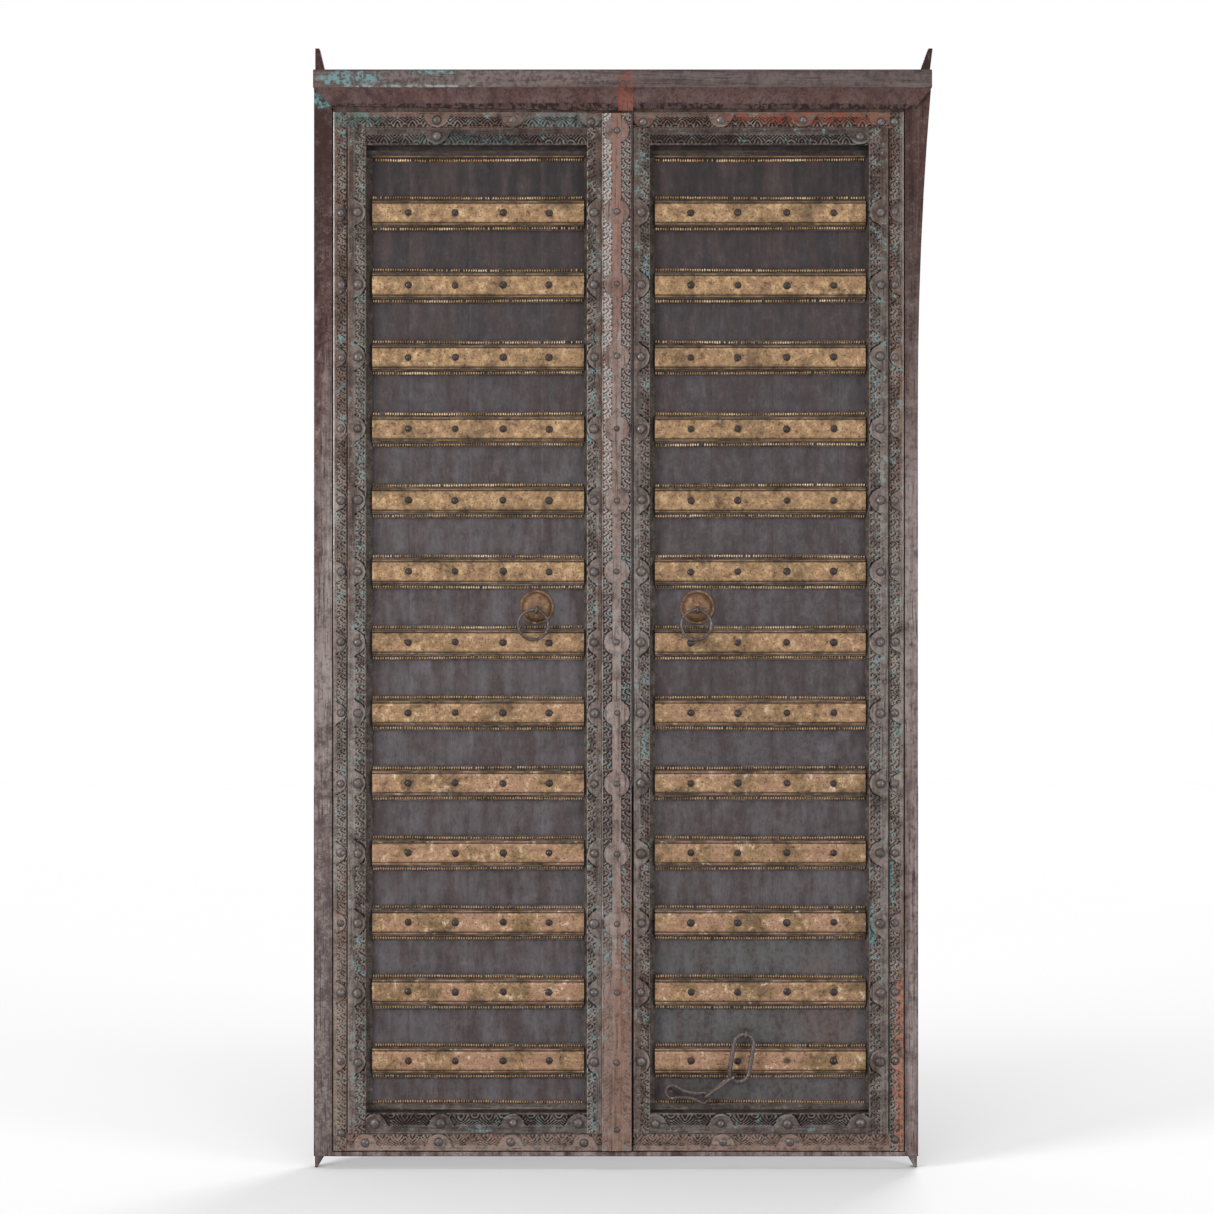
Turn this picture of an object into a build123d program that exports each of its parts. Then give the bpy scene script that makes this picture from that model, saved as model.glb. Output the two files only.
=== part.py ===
from build123d import *
from dataclasses import dataclass
import math
import os

# A carved double door in its frame, hung on wooden pivots at the back of its outer corners.
# Millimetres, +Z up. The carved face looks towards -Y, and the origin lies under the sill.

# Frame
opening_left = -566.0
opening_width = 1146.0
left_jamb_width = 36.0
right_jamb_width = 26.0
jamb_flare = 26.0
flare_drop = 614.0
jamb_front = -12.7
frame_back = 62.0
sill_front = -14.0
sill_thickness = 8.0
beam_front = -36.0
beam_height = 36.0
beam_arris = 4.0
facing_back = -13.0
facing_crown = -34.0
facing_foot = -18.0
facing_drop_corner = 34.0
facing_drop_left = 44.0
facing_drop_right = 40.0
centre_block_width = 30.0
centre_block_lap = 2.0
joint_clearance = 0.2

# Horns: the ends of the jambs that run past the sill and the beam
horn_front = 15.0
horn_back = 45.0
horn_width = 20.0
horn_tip = 8.0
top_horn_rise = 50.0
foot_horn_drop = 27.0
foot_horn_tip = 4.0
right_horn_lean = 6.0

# Leaves
leaf_height = 2116.0
leaf_foot_gap = 2.0
leaf_head_gap = 8.0
leaf_edge_gap = 2.5
meeting_gap = 3.0
meeting_shift = 28.5
edge_bead_width = 12.0
left_edge_bead = 1.0
edge_bead_clearance = 0.2
leaf_front = -10.0
leaf_back = 32.0
top_rail_height = 104.0
bottom_rail_height = 76.0
rebate_width = 12.0
fit = 0.3

# Pivots
pivot_inset = 9.5
pivot_depth = 9.0
pivot_radius = 7.0
pivot_clearance = 0.5
pivot_arris = 6.0
sill_socket_depth = 6.0
beam_socket_depth = 10.0
pivot_end_gap = 0.3

# Planks and battens
plank_front = 6.0
plank_thickness = 18.0
plank_gap = 0.6
batten_height = 70.0
batten_thickness = 20.0
batten_count = 4
batten_foot_rise = 240.0
batten_head_drop = 226.0

# Carved mouldings
moulding_depth = 10.0
top_moulding_height = 34.0
bottom_moulding_height = 40.0
carving_depth = 3.0
chip_margin = 8.0
edge_margin = 3.0
lobe_radius = 28.0
lobe_inset = 3.0
rail_lobe_radius = 24.0
band_carving_width = 17.0
band_lobe_radius = 16.0

# Astragal
astragal_depth = 16.0
astragal_inset = 1.0
astragal_head_gap = 6.0
astragal_foot_gap = 2.0
astragal_ridge = 20.0
astragal_lobe_radius = 28.0
astragal_arris = 2.0
astragal_screw_drop = 76.0
astragal_screw_rise = 44.0

# Panel beads
bead_front = -6.0
bead_lip = 2.0
top_bead_gap = 10.0
top_bead_height = 14.0
bottom_bead_gap = 6.0
bottom_bead_height = 12.0

# Brass strips on their ledges
first_strip_drop = 239.0
last_strip_rise = 179.24
strip_spacing = 141.0
pitch_closing = 0.31
ledge_shelf = 8.0
ledge_step = 5.0
ledge_depth = 10.0
strip_height = 38.0
strip_flat = 30.0
strip_thickness = 2.5
edging_height = 6.0
edging_depth = 5.0
edging_ridge = 2.0
edging_reveal = 2.0

# Studs and nails
stud_radius = 10.0
stud_crown = 8.0
stud_sides = 8
small_stud_radius = 6.5
small_stud_crown = 4.0
stud_taper = 38.0
nail_radius = 7.0
nail_crown = 3.0
nail_sides = 6
nail_taper = 40.0

# Ring pulls
plate_clearance = 1.9
plate_rim = 3.0
plate_rim_width = 4.0
plate_rise = 16.0
plate_crown_radius = 11.0
ring_radius = 30.0
ring_wire = 6.0
ring_front = -20.0
ring_hang = 6.0
eye_wire = 5.0

# Latch chain
chain_front = -24.0
chain_wire = 9.0
thin_wire = 8.0
staple_wire = 6.0
chain_slack = 0.3
chain_inset = 224.0
chain_rise = 54.76
link_1_lean = 10.0
link_1_length = 95.0
link_1_width = 39.0
link_2_lean = 54.0
link_2_length = 76.0
link_2_width = 24.0
link_3_lean = 101.0
link_3_small_loop = 10.0
link_3_large_loop = 13.0
link_3_waist = 5.5
link_3_waist_radius = 75.0
pin_radius = 4.0
pin_front = -28.0
pin_play = 1.5
pin_arris = 1.0

# Places that follow from the sizes above
opening_right = opening_left + opening_width
left_outer = opening_left - left_jamb_width
right_outer = opening_right + right_jamb_width
right_top_outer = right_outer + jamb_flare
leaf_bottom = sill_thickness + leaf_foot_gap
leaf_top = leaf_bottom + leaf_height
beam_underside = leaf_top + leaf_head_gap
beam_top = beam_underside + beam_height
facing_depth = max(facing_drop_left, facing_drop_right)
flare_start = leaf_top - flare_drop
rail_band_top = beam_underside - facing_depth
pivot_y = leaf_back - pivot_depth
pivot_foot = sill_thickness - sill_socket_depth + pivot_end_gap
pivot_head = beam_underside + beam_socket_depth - pivot_end_gap
top_rail_foot = leaf_top - top_rail_height
bottom_rail_top = leaf_bottom + bottom_rail_height
top_moulding_top = top_rail_foot + top_moulding_height
bottom_moulding_foot = bottom_rail_top - bottom_moulding_height
plank_back = plank_front + plank_thickness
moulding_front = leaf_front - moulding_depth
top_bead_top = top_rail_foot - top_bead_gap
bottom_bead_foot = bottom_rail_top + bottom_bead_gap
side_bead_foot = bottom_bead_foot + bottom_bead_height
side_bead_top = top_bead_top - top_bead_height
ledge_front = plank_front - ledge_depth
ledge_step_height = strip_height + 2 * (edging_height + edging_reveal)
ledge_height = ledge_step_height + 2 * ledge_shelf
strip_front = ledge_front - strip_thickness

# The strips are shared out between the first and the last, and stand a little closer lower down
first_strip_level = leaf_top - first_strip_drop
strip_span = first_strip_level - leaf_bottom - last_strip_rise
strip_gaps = int(strip_span / strip_spacing)
strip_levels = [
    first_strip_level - i * strip_span / strip_gaps - pitch_closing * i * (strip_gaps - i)
    for i in range(strip_gaps + 1)
]

# The pull plates fill the space between the ledges of the two middle strips
strip_over_pull, strip_under_pull = strip_levels[strip_gaps // 2 - 1 : strip_gaps // 2 + 1]
pull_level = (strip_over_pull + strip_under_pull) / 2
plate_radius = (strip_over_pull - strip_under_pull - ledge_height) / 2 - plate_clearance


@dataclass
class Leaf:
    """One leaf, laid out by offsets from its hanging edge towards the other leaf.

    Studs along the rails, nails and plank joints stand at shares of the length they divide.
    """

    side: str
    hang_x: float
    toward: int
    width: float
    outer_band: float
    groove: float
    hanging_moulding: float
    hanging_bead: float
    meeting_bead: float
    meeting_moulding: float
    lap: float
    edge_bead: float
    band_stud_inset: float
    hanging_stud_inset: float
    meeting_stud_inset: float
    top_band_studs: tuple
    top_moulding_studs: tuple
    foot_moulding_studs: tuple
    foot_band_studs: tuple
    foot_stud_rise: float
    head_stud_drop: float | None
    plank_joints: tuple
    nails: tuple
    lost_foot_nail: int | None
    ring_inset: float
    ring_lean: float

    def x(self, offset):
        return self.hang_x + self.toward * offset

    def along_rail(self, share):
        return self.x(self.rail_start + share * (self.rail_end - self.rail_start))

    def along_panel(self, share):
        return self.x(self.panel_start + share * (self.panel_end - self.panel_start))

    @property
    def hanging_stile(self):
        return self.outer_band + self.groove + self.hanging_moulding

    @property
    def meeting_stile(self):
        return self.meeting_moulding + self.lap

    @property
    def rail_start(self):
        return self.hanging_stile

    @property
    def rail_end(self):
        return self.width - self.meeting_stile

    @property
    def panel_start(self):
        return self.rail_start + self.hanging_bead

    @property
    def panel_end(self):
        return self.rail_end - self.meeting_bead


middle_width = (opening_width - 2 * leaf_edge_gap - meeting_gap) / 2
left_leaf = Leaf(
    side="left",
    hang_x=opening_left + leaf_edge_gap,
    toward=1,
    width=middle_width + meeting_shift,
    outer_band=25.5,
    groove=4.0,
    hanging_moulding=36.0,
    hanging_bead=12.0,
    meeting_bead=6.0,
    meeting_moulding=30.0,
    lap=60.0,
    edge_bead=left_edge_bead,
    band_stud_inset=10.0,
    hanging_stud_inset=20.0,
    meeting_stud_inset=16.0,
    top_band_studs=(0.321, 0.665),
    top_moulding_studs=(0.321,),
    foot_moulding_studs=(0.041, 0.339, 0.665, 0.959),
    foot_band_studs=(0.33, 0.656),
    foot_stud_rise=36.0,
    head_stud_drop=None,
    plank_joints=(0.207, 0.465, 0.772),
    nails=(0.17, 0.392, 0.618, 0.835),
    lost_foot_nail=None,
    ring_inset=101.0,
    ring_lean=12.6,
)
right_leaf = Leaf(
    side="right",
    hang_x=opening_right - leaf_edge_gap,
    toward=-1,
    width=middle_width - meeting_shift,
    outer_band=29.5,
    groove=2.0,
    hanging_moulding=38.0,
    hanging_bead=6.0,
    meeting_bead=10.0,
    meeting_moulding=33.0,
    lap=0.0,
    edge_bead=meeting_gap - edge_bead_clearance - left_edge_bead,
    band_stud_inset=12.0,
    hanging_stud_inset=16.0,
    meeting_stud_inset=15.0,
    top_band_studs=(0.676, 0.301),
    top_moulding_studs=(0.041,),
    foot_moulding_studs=(0.977, 0.676, 0.374, 0.041),
    foot_band_studs=(0.667, 0.361),
    foot_stud_rise=22.0,
    head_stud_drop=58.0,
    plank_joints=(0.157, 0.443, 0.709),
    nails=(0.152, 0.374, 0.607, 0.829),
    lost_foot_nail=1,
    ring_inset=95.0,
    ring_lean=5.0,
)


def finish(piece, label):
    """Name a finished piece and write it to its own file."""
    piece.part.label = label
    export_step(piece.part, f"parts/{label}.step")


def between(a0, a1, b0, b1, mode=Mode.ADD):
    """A rectangle between two corners of the sketch that is open."""
    with Locations(((a0 + a1) / 2, (b0 + b1) / 2)):
        Rectangle(abs(a1 - a0), abs(b1 - b0), mode=mode)


def front_plane(y):
    """The plane of a front face at depth y, seen as the viewer sees it: X right, Z up."""
    return Plane.XZ.offset(-y)


def carved_column(x_chips, x_edge, z_foot, z_top, levels, radius):
    """A sunk band up a stile that the plain lobes round the studs break into panels."""
    across = 1 if x_edge > x_chips else -1
    between(x_chips + across * chip_margin, x_edge - across * edge_margin, z_foot, z_top)
    with Locations([(x_chips + across * lobe_inset, z) for z in levels]):
        Circle(radius, mode=Mode.SUBTRACT)


def carved_row(x0, x1, z_chips, z_edge, stud_places, radius):
    """A sunk band along a rail that the plain lobes round its studs break into panels."""
    up = 1 if z_edge > z_chips else -1
    between(x0, x1, z_chips + up * chip_margin, z_edge - up * edge_margin)
    with Locations([(x, z_chips + up * lobe_inset) for x in stud_places]):
        Circle(radius, mode=Mode.SUBTRACT)


# Frame


def make_left_jamb():
    with BuildPart() as jamb:
        with BuildSketch(Plane.XY):
            between(left_outer, opening_left, jamb_front, frame_back)
        extrude(amount=beam_underside)
        with BuildSketch(front_plane(horn_back)):
            with BuildLine():
                Polyline(
                    (left_outer, beam_underside),
                    (left_outer + horn_width, beam_underside),
                    (left_outer + horn_width, beam_top),
                    (left_outer + horn_tip, beam_top + top_horn_rise),
                    (left_outer, beam_top + top_horn_rise),
                    close=True,
                )
            make_face()
            with BuildLine():
                Polyline(
                    (left_outer, 0),
                    (left_outer + horn_width, 0),
                    (left_outer + foot_horn_tip, -foot_horn_drop),
                    (left_outer, -foot_horn_drop),
                    close=True,
                )
            make_face()
        extrude(amount=horn_back - horn_front)
    finish(jamb, "left_jamb")


def make_right_jamb():
    """The right jamb flares outwards above the height of the latch rail."""
    with BuildPart() as jamb:
        with BuildSketch(front_plane(frame_back)):
            with BuildLine():
                Polyline(
                    (right_outer, flare_start),
                    (right_outer, 0),
                    (opening_right, 0),
                    (opening_right, beam_underside),
                    (right_top_outer, beam_underside),
                )
                TangentArc((right_outer, flare_start), (right_top_outer, beam_underside), tangent=(0, 1))
            make_face()
        extrude(amount=frame_back - jamb_front)
        with BuildSketch(front_plane(horn_back)):
            with BuildLine():
                Polyline(
                    (right_top_outer - horn_width, beam_underside),
                    (right_top_outer, beam_underside),
                    (right_top_outer, beam_top),
                    (right_top_outer + right_horn_lean, beam_top + top_horn_rise),
                    (right_top_outer + right_horn_lean - horn_tip, beam_top + top_horn_rise),
                    (right_top_outer - horn_width, beam_top),
                    close=True,
                )
            make_face()
            with BuildLine():
                Polyline(
                    (right_outer, 0),
                    (right_outer - horn_width, 0),
                    (right_outer - foot_horn_tip, -foot_horn_drop),
                    (right_outer, -foot_horn_drop),
                    close=True,
                )
            make_face()
        extrude(amount=horn_back - horn_front)
    finish(jamb, "right_jamb")


def make_head_beam():
    """The beam lies on both jambs, notched for their horns and bored for the upper pivots."""
    with BuildPart() as beam:
        with BuildSketch(Plane.XY.offset(beam_underside)):
            between(left_outer, right_top_outer, beam_front, frame_back)
            notch = horn_width + joint_clearance
            for x_end, inward in ((left_outer, 1), (right_top_outer, -1)):
                between(
                    x_end,
                    x_end + inward * notch,
                    horn_front - joint_clearance,
                    horn_back + joint_clearance,
                    mode=Mode.SUBTRACT,
                )
        extrude(amount=beam_height)
        chamfer(beam.edges().group_by(Axis.Y)[0].group_by(Axis.Z)[-1], beam_arris)
        with BuildSketch(Plane.XY.offset(beam_underside)):
            with Locations([(leaf.x(pivot_inset), pivot_y) for leaf in (left_leaf, right_leaf)]):
                Circle(pivot_radius + pivot_clearance)
        extrude(amount=beam_socket_depth, mode=Mode.SUBTRACT)
    finish(beam, "head_beam")


def make_facing(label, outline):
    """A sloping board under the beam, hollowed on its face and cut to its outline."""
    with BuildPart() as facing:
        with BuildSketch(Plane.YZ.offset(left_outer)):
            with BuildLine():
                Polyline(
                    (facing_foot, beam_underside - facing_depth),
                    (facing_back, beam_underside - facing_depth),
                    (facing_back, beam_underside),
                    (facing_crown, beam_underside),
                )
                TangentArc(
                    (facing_foot, beam_underside - facing_depth),
                    (facing_crown, beam_underside),
                    tangent=(0, 1),
                )
            make_face()
        extrude(amount=right_top_outer - left_outer)
        with BuildSketch(front_plane(facing_back)):
            with BuildLine():
                Polyline(*outline, close=True)
            make_face()
        extrude(amount=facing_back - facing_crown, mode=Mode.INTERSECT)
    finish(facing, label)


def make_head_facings():
    """Two facings, mitred over the jambs, butt against a short block beside the meeting line."""
    block_right = left_leaf.x(left_leaf.width) + centre_block_lap
    block_left = block_right - centre_block_width
    corner = beam_underside - facing_drop_corner
    make_facing(
        "head_facing_left",
        (
            (left_outer, beam_underside),
            (left_outer + facing_drop_corner, corner),
            (block_left, beam_underside - facing_drop_left),
            (block_left, beam_underside),
        ),
    )
    make_facing(
        "head_centre_block",
        (
            (block_left + joint_clearance, beam_underside),
            (block_left + joint_clearance, beam_underside - facing_drop_left),
            (block_right, beam_underside - facing_drop_left),
            (block_right, beam_underside),
        ),
    )
    make_facing(
        "head_facing_right",
        (
            (block_right + joint_clearance, beam_underside),
            (block_right + joint_clearance, beam_underside - facing_drop_right),
            (right_top_outer - facing_drop_corner, beam_underside - facing_drop_right),
            (right_top_outer, beam_underside),
        ),
    )


def make_sill():
    """A low threshold board between the jambs, bored for the lower pivots."""
    with BuildPart() as sill:
        with BuildSketch(Plane.XY):
            between(opening_left, opening_right, sill_front, frame_back)
        extrude(amount=sill_thickness)
        with BuildSketch(Plane.XY.offset(sill_thickness)):
            with Locations([(leaf.x(pivot_inset), pivot_y) for leaf in (left_leaf, right_leaf)]):
                Circle(pivot_radius + pivot_clearance)
        extrude(amount=-sill_socket_depth, mode=Mode.SUBTRACT)
    finish(sill, "sill")


# Leaf frames


def make_hanging_stile(leaf):
    """The outer stile with its pivots, its carved outer band and the rebate for the planks."""
    with BuildPart() as stile:
        with BuildSketch(Plane.XY.offset(leaf_bottom)):
            between(leaf.x(0), leaf.x(leaf.hanging_stile), leaf_front, leaf_back)
            between(
                leaf.x(leaf.hanging_stile - rebate_width),
                leaf.x(leaf.hanging_stile),
                plank_front,
                leaf_back,
                mode=Mode.SUBTRACT,
            )
        extrude(amount=leaf_height)
        back_corner = (leaf.x(0), leaf_back, leaf_bottom + leaf_height / 2)
        fillet(stile.edges().filter_by(Axis.Z).sort_by_distance(back_corner)[0], pivot_arris)
        for z_start, z_end in ((leaf_bottom, pivot_foot), (leaf_top, pivot_head)):
            with BuildSketch(Plane.XY.offset(z_start)):
                with Locations((leaf.x(pivot_inset), pivot_y)):
                    Circle(pivot_radius)
            extrude(amount=z_end - z_start)
        with BuildSketch(front_plane(leaf_front)):
            carved_column(
                leaf.x(leaf.outer_band - band_carving_width - chip_margin),
                leaf.x(leaf.outer_band + edge_margin),
                bottom_moulding_foot,
                top_moulding_top,
                strip_levels,
                band_lobe_radius,
            )
        extrude(amount=-carving_depth, mode=Mode.SUBTRACT)
    finish(stile, f"{leaf.side}_hanging_stile")


def make_meeting_stile(leaf):
    """The inner stile, rebated for the planks.

    A low bead along its edge all but closes the joint between the leaves. It lies at the depth
    of the pivots, so it draws back as soon as either leaf swings.
    """
    with BuildPart() as stile:
        with BuildSketch(Plane.XY.offset(leaf_bottom)):
            between(leaf.x(leaf.rail_end), leaf.x(leaf.width), leaf_front, leaf_back)
            between(
                leaf.x(leaf.width),
                leaf.x(leaf.width + leaf.edge_bead),
                pivot_y - edge_bead_width / 2,
                pivot_y + edge_bead_width / 2,
            )
            between(
                leaf.x(leaf.rail_end),
                leaf.x(leaf.rail_end + rebate_width),
                plank_front,
                leaf_back,
                mode=Mode.SUBTRACT,
            )
        extrude(amount=leaf_height)
    finish(stile, f"{leaf.side}_meeting_stile")


def make_rail(leaf, label, z_outer, z_inner, z_chips, z_edge, stud_places):
    """A rail between the stiles, rebated for the planks, with a carved band on its face."""
    inward = 1 if z_inner > z_outer else -1
    start = min(leaf.x(leaf.rail_start), leaf.x(leaf.rail_end))
    end = max(leaf.x(leaf.rail_start), leaf.x(leaf.rail_end))
    with BuildPart() as rail:
        with BuildSketch(Plane.YZ.offset(start)):
            between(leaf_front, leaf_back, z_outer, z_inner)
            between(
                plank_front,
                leaf_back,
                z_inner - inward * rebate_width,
                z_inner,
                mode=Mode.SUBTRACT,
            )
        extrude(amount=end - start)
        with BuildSketch(front_plane(leaf_front)):
            carved_row(start, end, z_chips, z_edge, stud_places, band_lobe_radius)
        extrude(amount=-carving_depth, mode=Mode.SUBTRACT)
    finish(rail, f"{leaf.side}_{label}")


def make_planks(leaf):
    """Upright boards held in the rebates of the stiles and rails."""
    first = leaf.rail_start - rebate_width + fit
    last = leaf.rail_end + rebate_width - fit
    joints = [first + share * (last - first) for share in leaf.plank_joints]
    edges = [first, *joints, last]
    with BuildPart() as planks:
        with BuildSketch(Plane.XY.offset(bottom_rail_top - rebate_width + fit)):
            for near, far in zip(edges, edges[1:]):
                between(
                    leaf.x(near + plank_gap / 2),
                    leaf.x(far - plank_gap / 2),
                    plank_front,
                    plank_back,
                )
        extrude(amount=top_rail_foot - bottom_rail_top + 2 * (rebate_width - fit))
    finish(planks, f"{leaf.side}_planks")


def make_back_battens(leaf):
    """Battens across the back of the planks, between the stiles."""
    start = min(
        leaf.x(leaf.rail_start - rebate_width + fit),
        leaf.x(leaf.rail_end + rebate_width - fit),
    )
    length = leaf.rail_end - leaf.rail_start + 2 * (rebate_width - fit)
    lowest = leaf_bottom + batten_foot_rise
    step = (leaf_top - batten_head_drop - lowest) / (batten_count - 1)
    with BuildPart() as battens:
        with BuildSketch(Plane.YZ.offset(start)):
            for level in [lowest + i * step for i in range(batten_count)]:
                between(
                    plank_back,
                    plank_back + batten_thickness,
                    level - batten_height / 2,
                    level + batten_height / 2,
                )
        extrude(amount=length)
    finish(battens, f"{leaf.side}_back_battens")


# Carved mouldings planted on the leaf frames


def make_side_moulding(leaf, label, chips, edge):
    """A raised strip up a stile: a chip row on one side, lobes reaching to the panel side."""
    with BuildPart() as strip:
        with BuildSketch(front_plane(leaf_front)):
            between(leaf.x(chips), leaf.x(edge), bottom_moulding_foot, top_moulding_top)
        extrude(amount=moulding_depth)
        if label == "meeting_moulding" and not leaf.lap:
            meeting_arris = (leaf.x(chips), moulding_front, bottom_moulding_foot)
            chamfer(
                strip.edges().filter_by(Axis.Z).sort_by_distance(meeting_arris)[0],
                astragal_arris,
            )
        with BuildSketch(front_plane(moulding_front)):
            carved_column(
                leaf.x(chips),
                leaf.x(edge),
                bottom_moulding_foot + edge_margin,
                top_moulding_top - edge_margin,
                strip_levels,
                lobe_radius,
            )
        extrude(amount=-carving_depth, mode=Mode.SUBTRACT)
    finish(strip, f"{leaf.side}_{label}")


def make_rail_moulding(leaf, label, z_chips, z_edge, stud_places):
    """A raised strip along a rail, between the side mouldings."""
    start = min(leaf.x(leaf.rail_start), leaf.x(leaf.rail_end))
    end = max(leaf.x(leaf.rail_start), leaf.x(leaf.rail_end))
    with BuildPart() as strip:
        with BuildSketch(front_plane(leaf_front)):
            between(start, end, z_chips, z_edge)
        extrude(amount=moulding_depth)
        with BuildSketch(front_plane(moulding_front)):
            carved_row(
                start + edge_margin,
                end - edge_margin,
                z_chips,
                z_edge,
                stud_places,
                rail_lobe_radius,
            )
        extrude(amount=-carving_depth, mode=Mode.SUBTRACT)
    finish(strip, f"{leaf.side}_{label}")


def make_panel_beads(leaf):
    """Sloping beads that frame the panel: one up each side, one at the top, one at the foot."""
    start = min(leaf.x(leaf.rail_start), leaf.x(leaf.rail_end))
    with BuildPart() as beads:
        for stile_edge, panel_edge in (
            (leaf.rail_start, leaf.panel_start),
            (leaf.rail_end, leaf.panel_end),
        ):
            with BuildSketch(Plane.XY.offset(side_bead_foot)):
                with BuildLine():
                    Polyline(
                        (leaf.x(stile_edge), plank_front),
                        (leaf.x(stile_edge), bead_front),
                        (leaf.x(panel_edge), bead_lip),
                        (leaf.x(panel_edge), plank_front),
                        close=True,
                    )
                make_face()
            extrude(amount=side_bead_top - side_bead_foot)
        for z_outer, z_inner in (
            (top_bead_top, side_bead_top),
            (bottom_bead_foot, side_bead_foot),
        ):
            with BuildSketch(Plane.YZ.offset(start)):
                with BuildLine():
                    Polyline(
                        (plank_front, z_outer),
                        (bead_front, z_outer),
                        (bead_lip, z_inner),
                        (plank_front, z_inner),
                        close=True,
                    )
                make_face()
            extrude(amount=leaf.rail_end - leaf.rail_start)
    finish(beads, f"{leaf.side}_panel_beads")


# Brass strips


def make_ledges(leaf):
    """Stepped wooden ledges across the planks, one behind each brass strip."""
    start = min(leaf.x(leaf.panel_start), leaf.x(leaf.panel_end))
    with BuildPart() as ledges:
        with BuildSketch(Plane.YZ.offset(start)):
            for level in strip_levels:
                between(
                    plank_front - ledge_step,
                    plank_front,
                    level - ledge_height / 2,
                    level + ledge_height / 2,
                )
                between(
                    ledge_front,
                    plank_front,
                    level - ledge_step_height / 2,
                    level + ledge_step_height / 2,
                )
        extrude(amount=leaf.panel_end - leaf.panel_start)
    finish(ledges, f"{leaf.side}_ledges")


def make_brass_strips(leaf):
    """Flat brass strips with their long edges beaten down to the ledge."""
    start = min(leaf.x(leaf.panel_start), leaf.x(leaf.panel_end))
    with BuildPart() as strips:
        with BuildSketch(Plane.YZ.offset(start)):
            for level in strip_levels:
                with BuildLine():
                    Polyline(
                        (ledge_front, level - strip_height / 2),
                        (strip_front, level - strip_flat / 2),
                        (strip_front, level + strip_flat / 2),
                        (ledge_front, level + strip_height / 2),
                        close=True,
                    )
                make_face()
        extrude(amount=leaf.panel_end - leaf.panel_start)
    finish(strips, f"{leaf.side}_brass_strips")


def make_beaded_edging(leaf):
    """Ridged brass edging above and below every strip."""
    start = min(leaf.x(leaf.panel_start), leaf.x(leaf.panel_end))
    rise = strip_height / 2 + edging_height / 2
    with BuildPart() as edging:
        with BuildSketch(Plane.YZ.offset(start)):
            for level in strip_levels:
                for middle in (level - rise, level + rise):
                    with BuildLine():
                        Polyline(
                            (ledge_front, middle - edging_height / 2),
                            (ledge_front - edging_depth, middle - edging_ridge / 2),
                            (ledge_front - edging_depth, middle + edging_ridge / 2),
                            (ledge_front, middle + edging_height / 2),
                            close=True,
                        )
                    make_face()
        extrude(amount=leaf.panel_end - leaf.panel_start)
    finish(edging, f"{leaf.side}_beaded_edging")


# Studs and nails


def make_studs(label, groups, radius, crown):
    """Blunt forged studs, each group of places on its own face."""
    with BuildPart() as studs:
        for y_seat, places in groups:
            with BuildSketch(front_plane(y_seat)):
                with Locations(places):
                    RegularPolygon(radius, stud_sides)
            extrude(amount=crown, taper=stud_taper)
    finish(studs, label)


def make_leaf_studs(leaf, top_band, top_moulding, foot_moulding, foot_band):
    """A leaf's studs: those on the frame's face, and those on the raised mouldings."""
    band_x = leaf.x(leaf.outer_band - leaf.band_stud_inset)
    face_studs = [(band_x, level) for level in strip_levels]
    face_studs.append((band_x, leaf_bottom + leaf.foot_stud_rise))
    if leaf.head_stud_drop:
        face_studs.append((band_x, leaf_top - leaf.head_stud_drop))
    face_studs += [(x, (rail_band_top + top_moulding_top) / 2) for x in top_band]
    face_studs += [(x, (leaf_bottom + bottom_moulding_foot) / 2) for x in foot_band]
    raised_studs = [
        (leaf.x(offset), level)
        for offset in (
            leaf.outer_band + leaf.groove + leaf.hanging_stud_inset,
            leaf.rail_end + leaf.meeting_moulding - leaf.meeting_stud_inset,
        )
        for level in strip_levels
    ]
    raised_studs += [(x, (top_moulding_top + top_rail_foot) / 2) for x in top_moulding]
    raised_studs += [(x, (bottom_moulding_foot + bottom_rail_top) / 2) for x in foot_moulding]
    make_studs(
        f"{leaf.side}_studs",
        [(leaf_front, face_studs), (moulding_front, raised_studs)],
        stud_radius,
        stud_crown,
    )


def make_strip_nails(leaf):
    """Four flat-topped nails through every brass strip; one is lost from the right leaf's foot."""
    places = [
        (leaf.along_panel(share), level)
        for level in strip_levels
        for column, share in enumerate(leaf.nails)
        if level != strip_levels[-1] or column != leaf.lost_foot_nail
    ]
    with BuildPart() as nails:
        with BuildSketch(front_plane(strip_front)):
            with Locations(places):
                RegularPolygon(nail_radius, nail_sides)
        extrude(amount=nail_crown, taper=nail_taper)
    finish(nails, f"{leaf.side}_strip_nails")


# Ring pulls


def make_staple(label, centre, across, radius, wire, seat_y):
    """A bent-wire staple round the point centre, its two legs running back to the planks."""
    plane = Plane(origin=centre, x_dir=(0, 1, 0), z_dir=across)
    leg = seat_y - centre[1]
    with BuildPart() as staple:
        with BuildLine(plane) as path:
            Line((leg, radius), (0, radius))
            ThreePointArc((0, radius), (-radius, 0), (0, -radius))
            Line((0, -radius), (leg, -radius))
        with BuildSketch(Plane(origin=path.line @ 0, z_dir=path.line % 0)):
            Circle(wire / 2)
        sweep()
    finish(staple, label)


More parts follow.
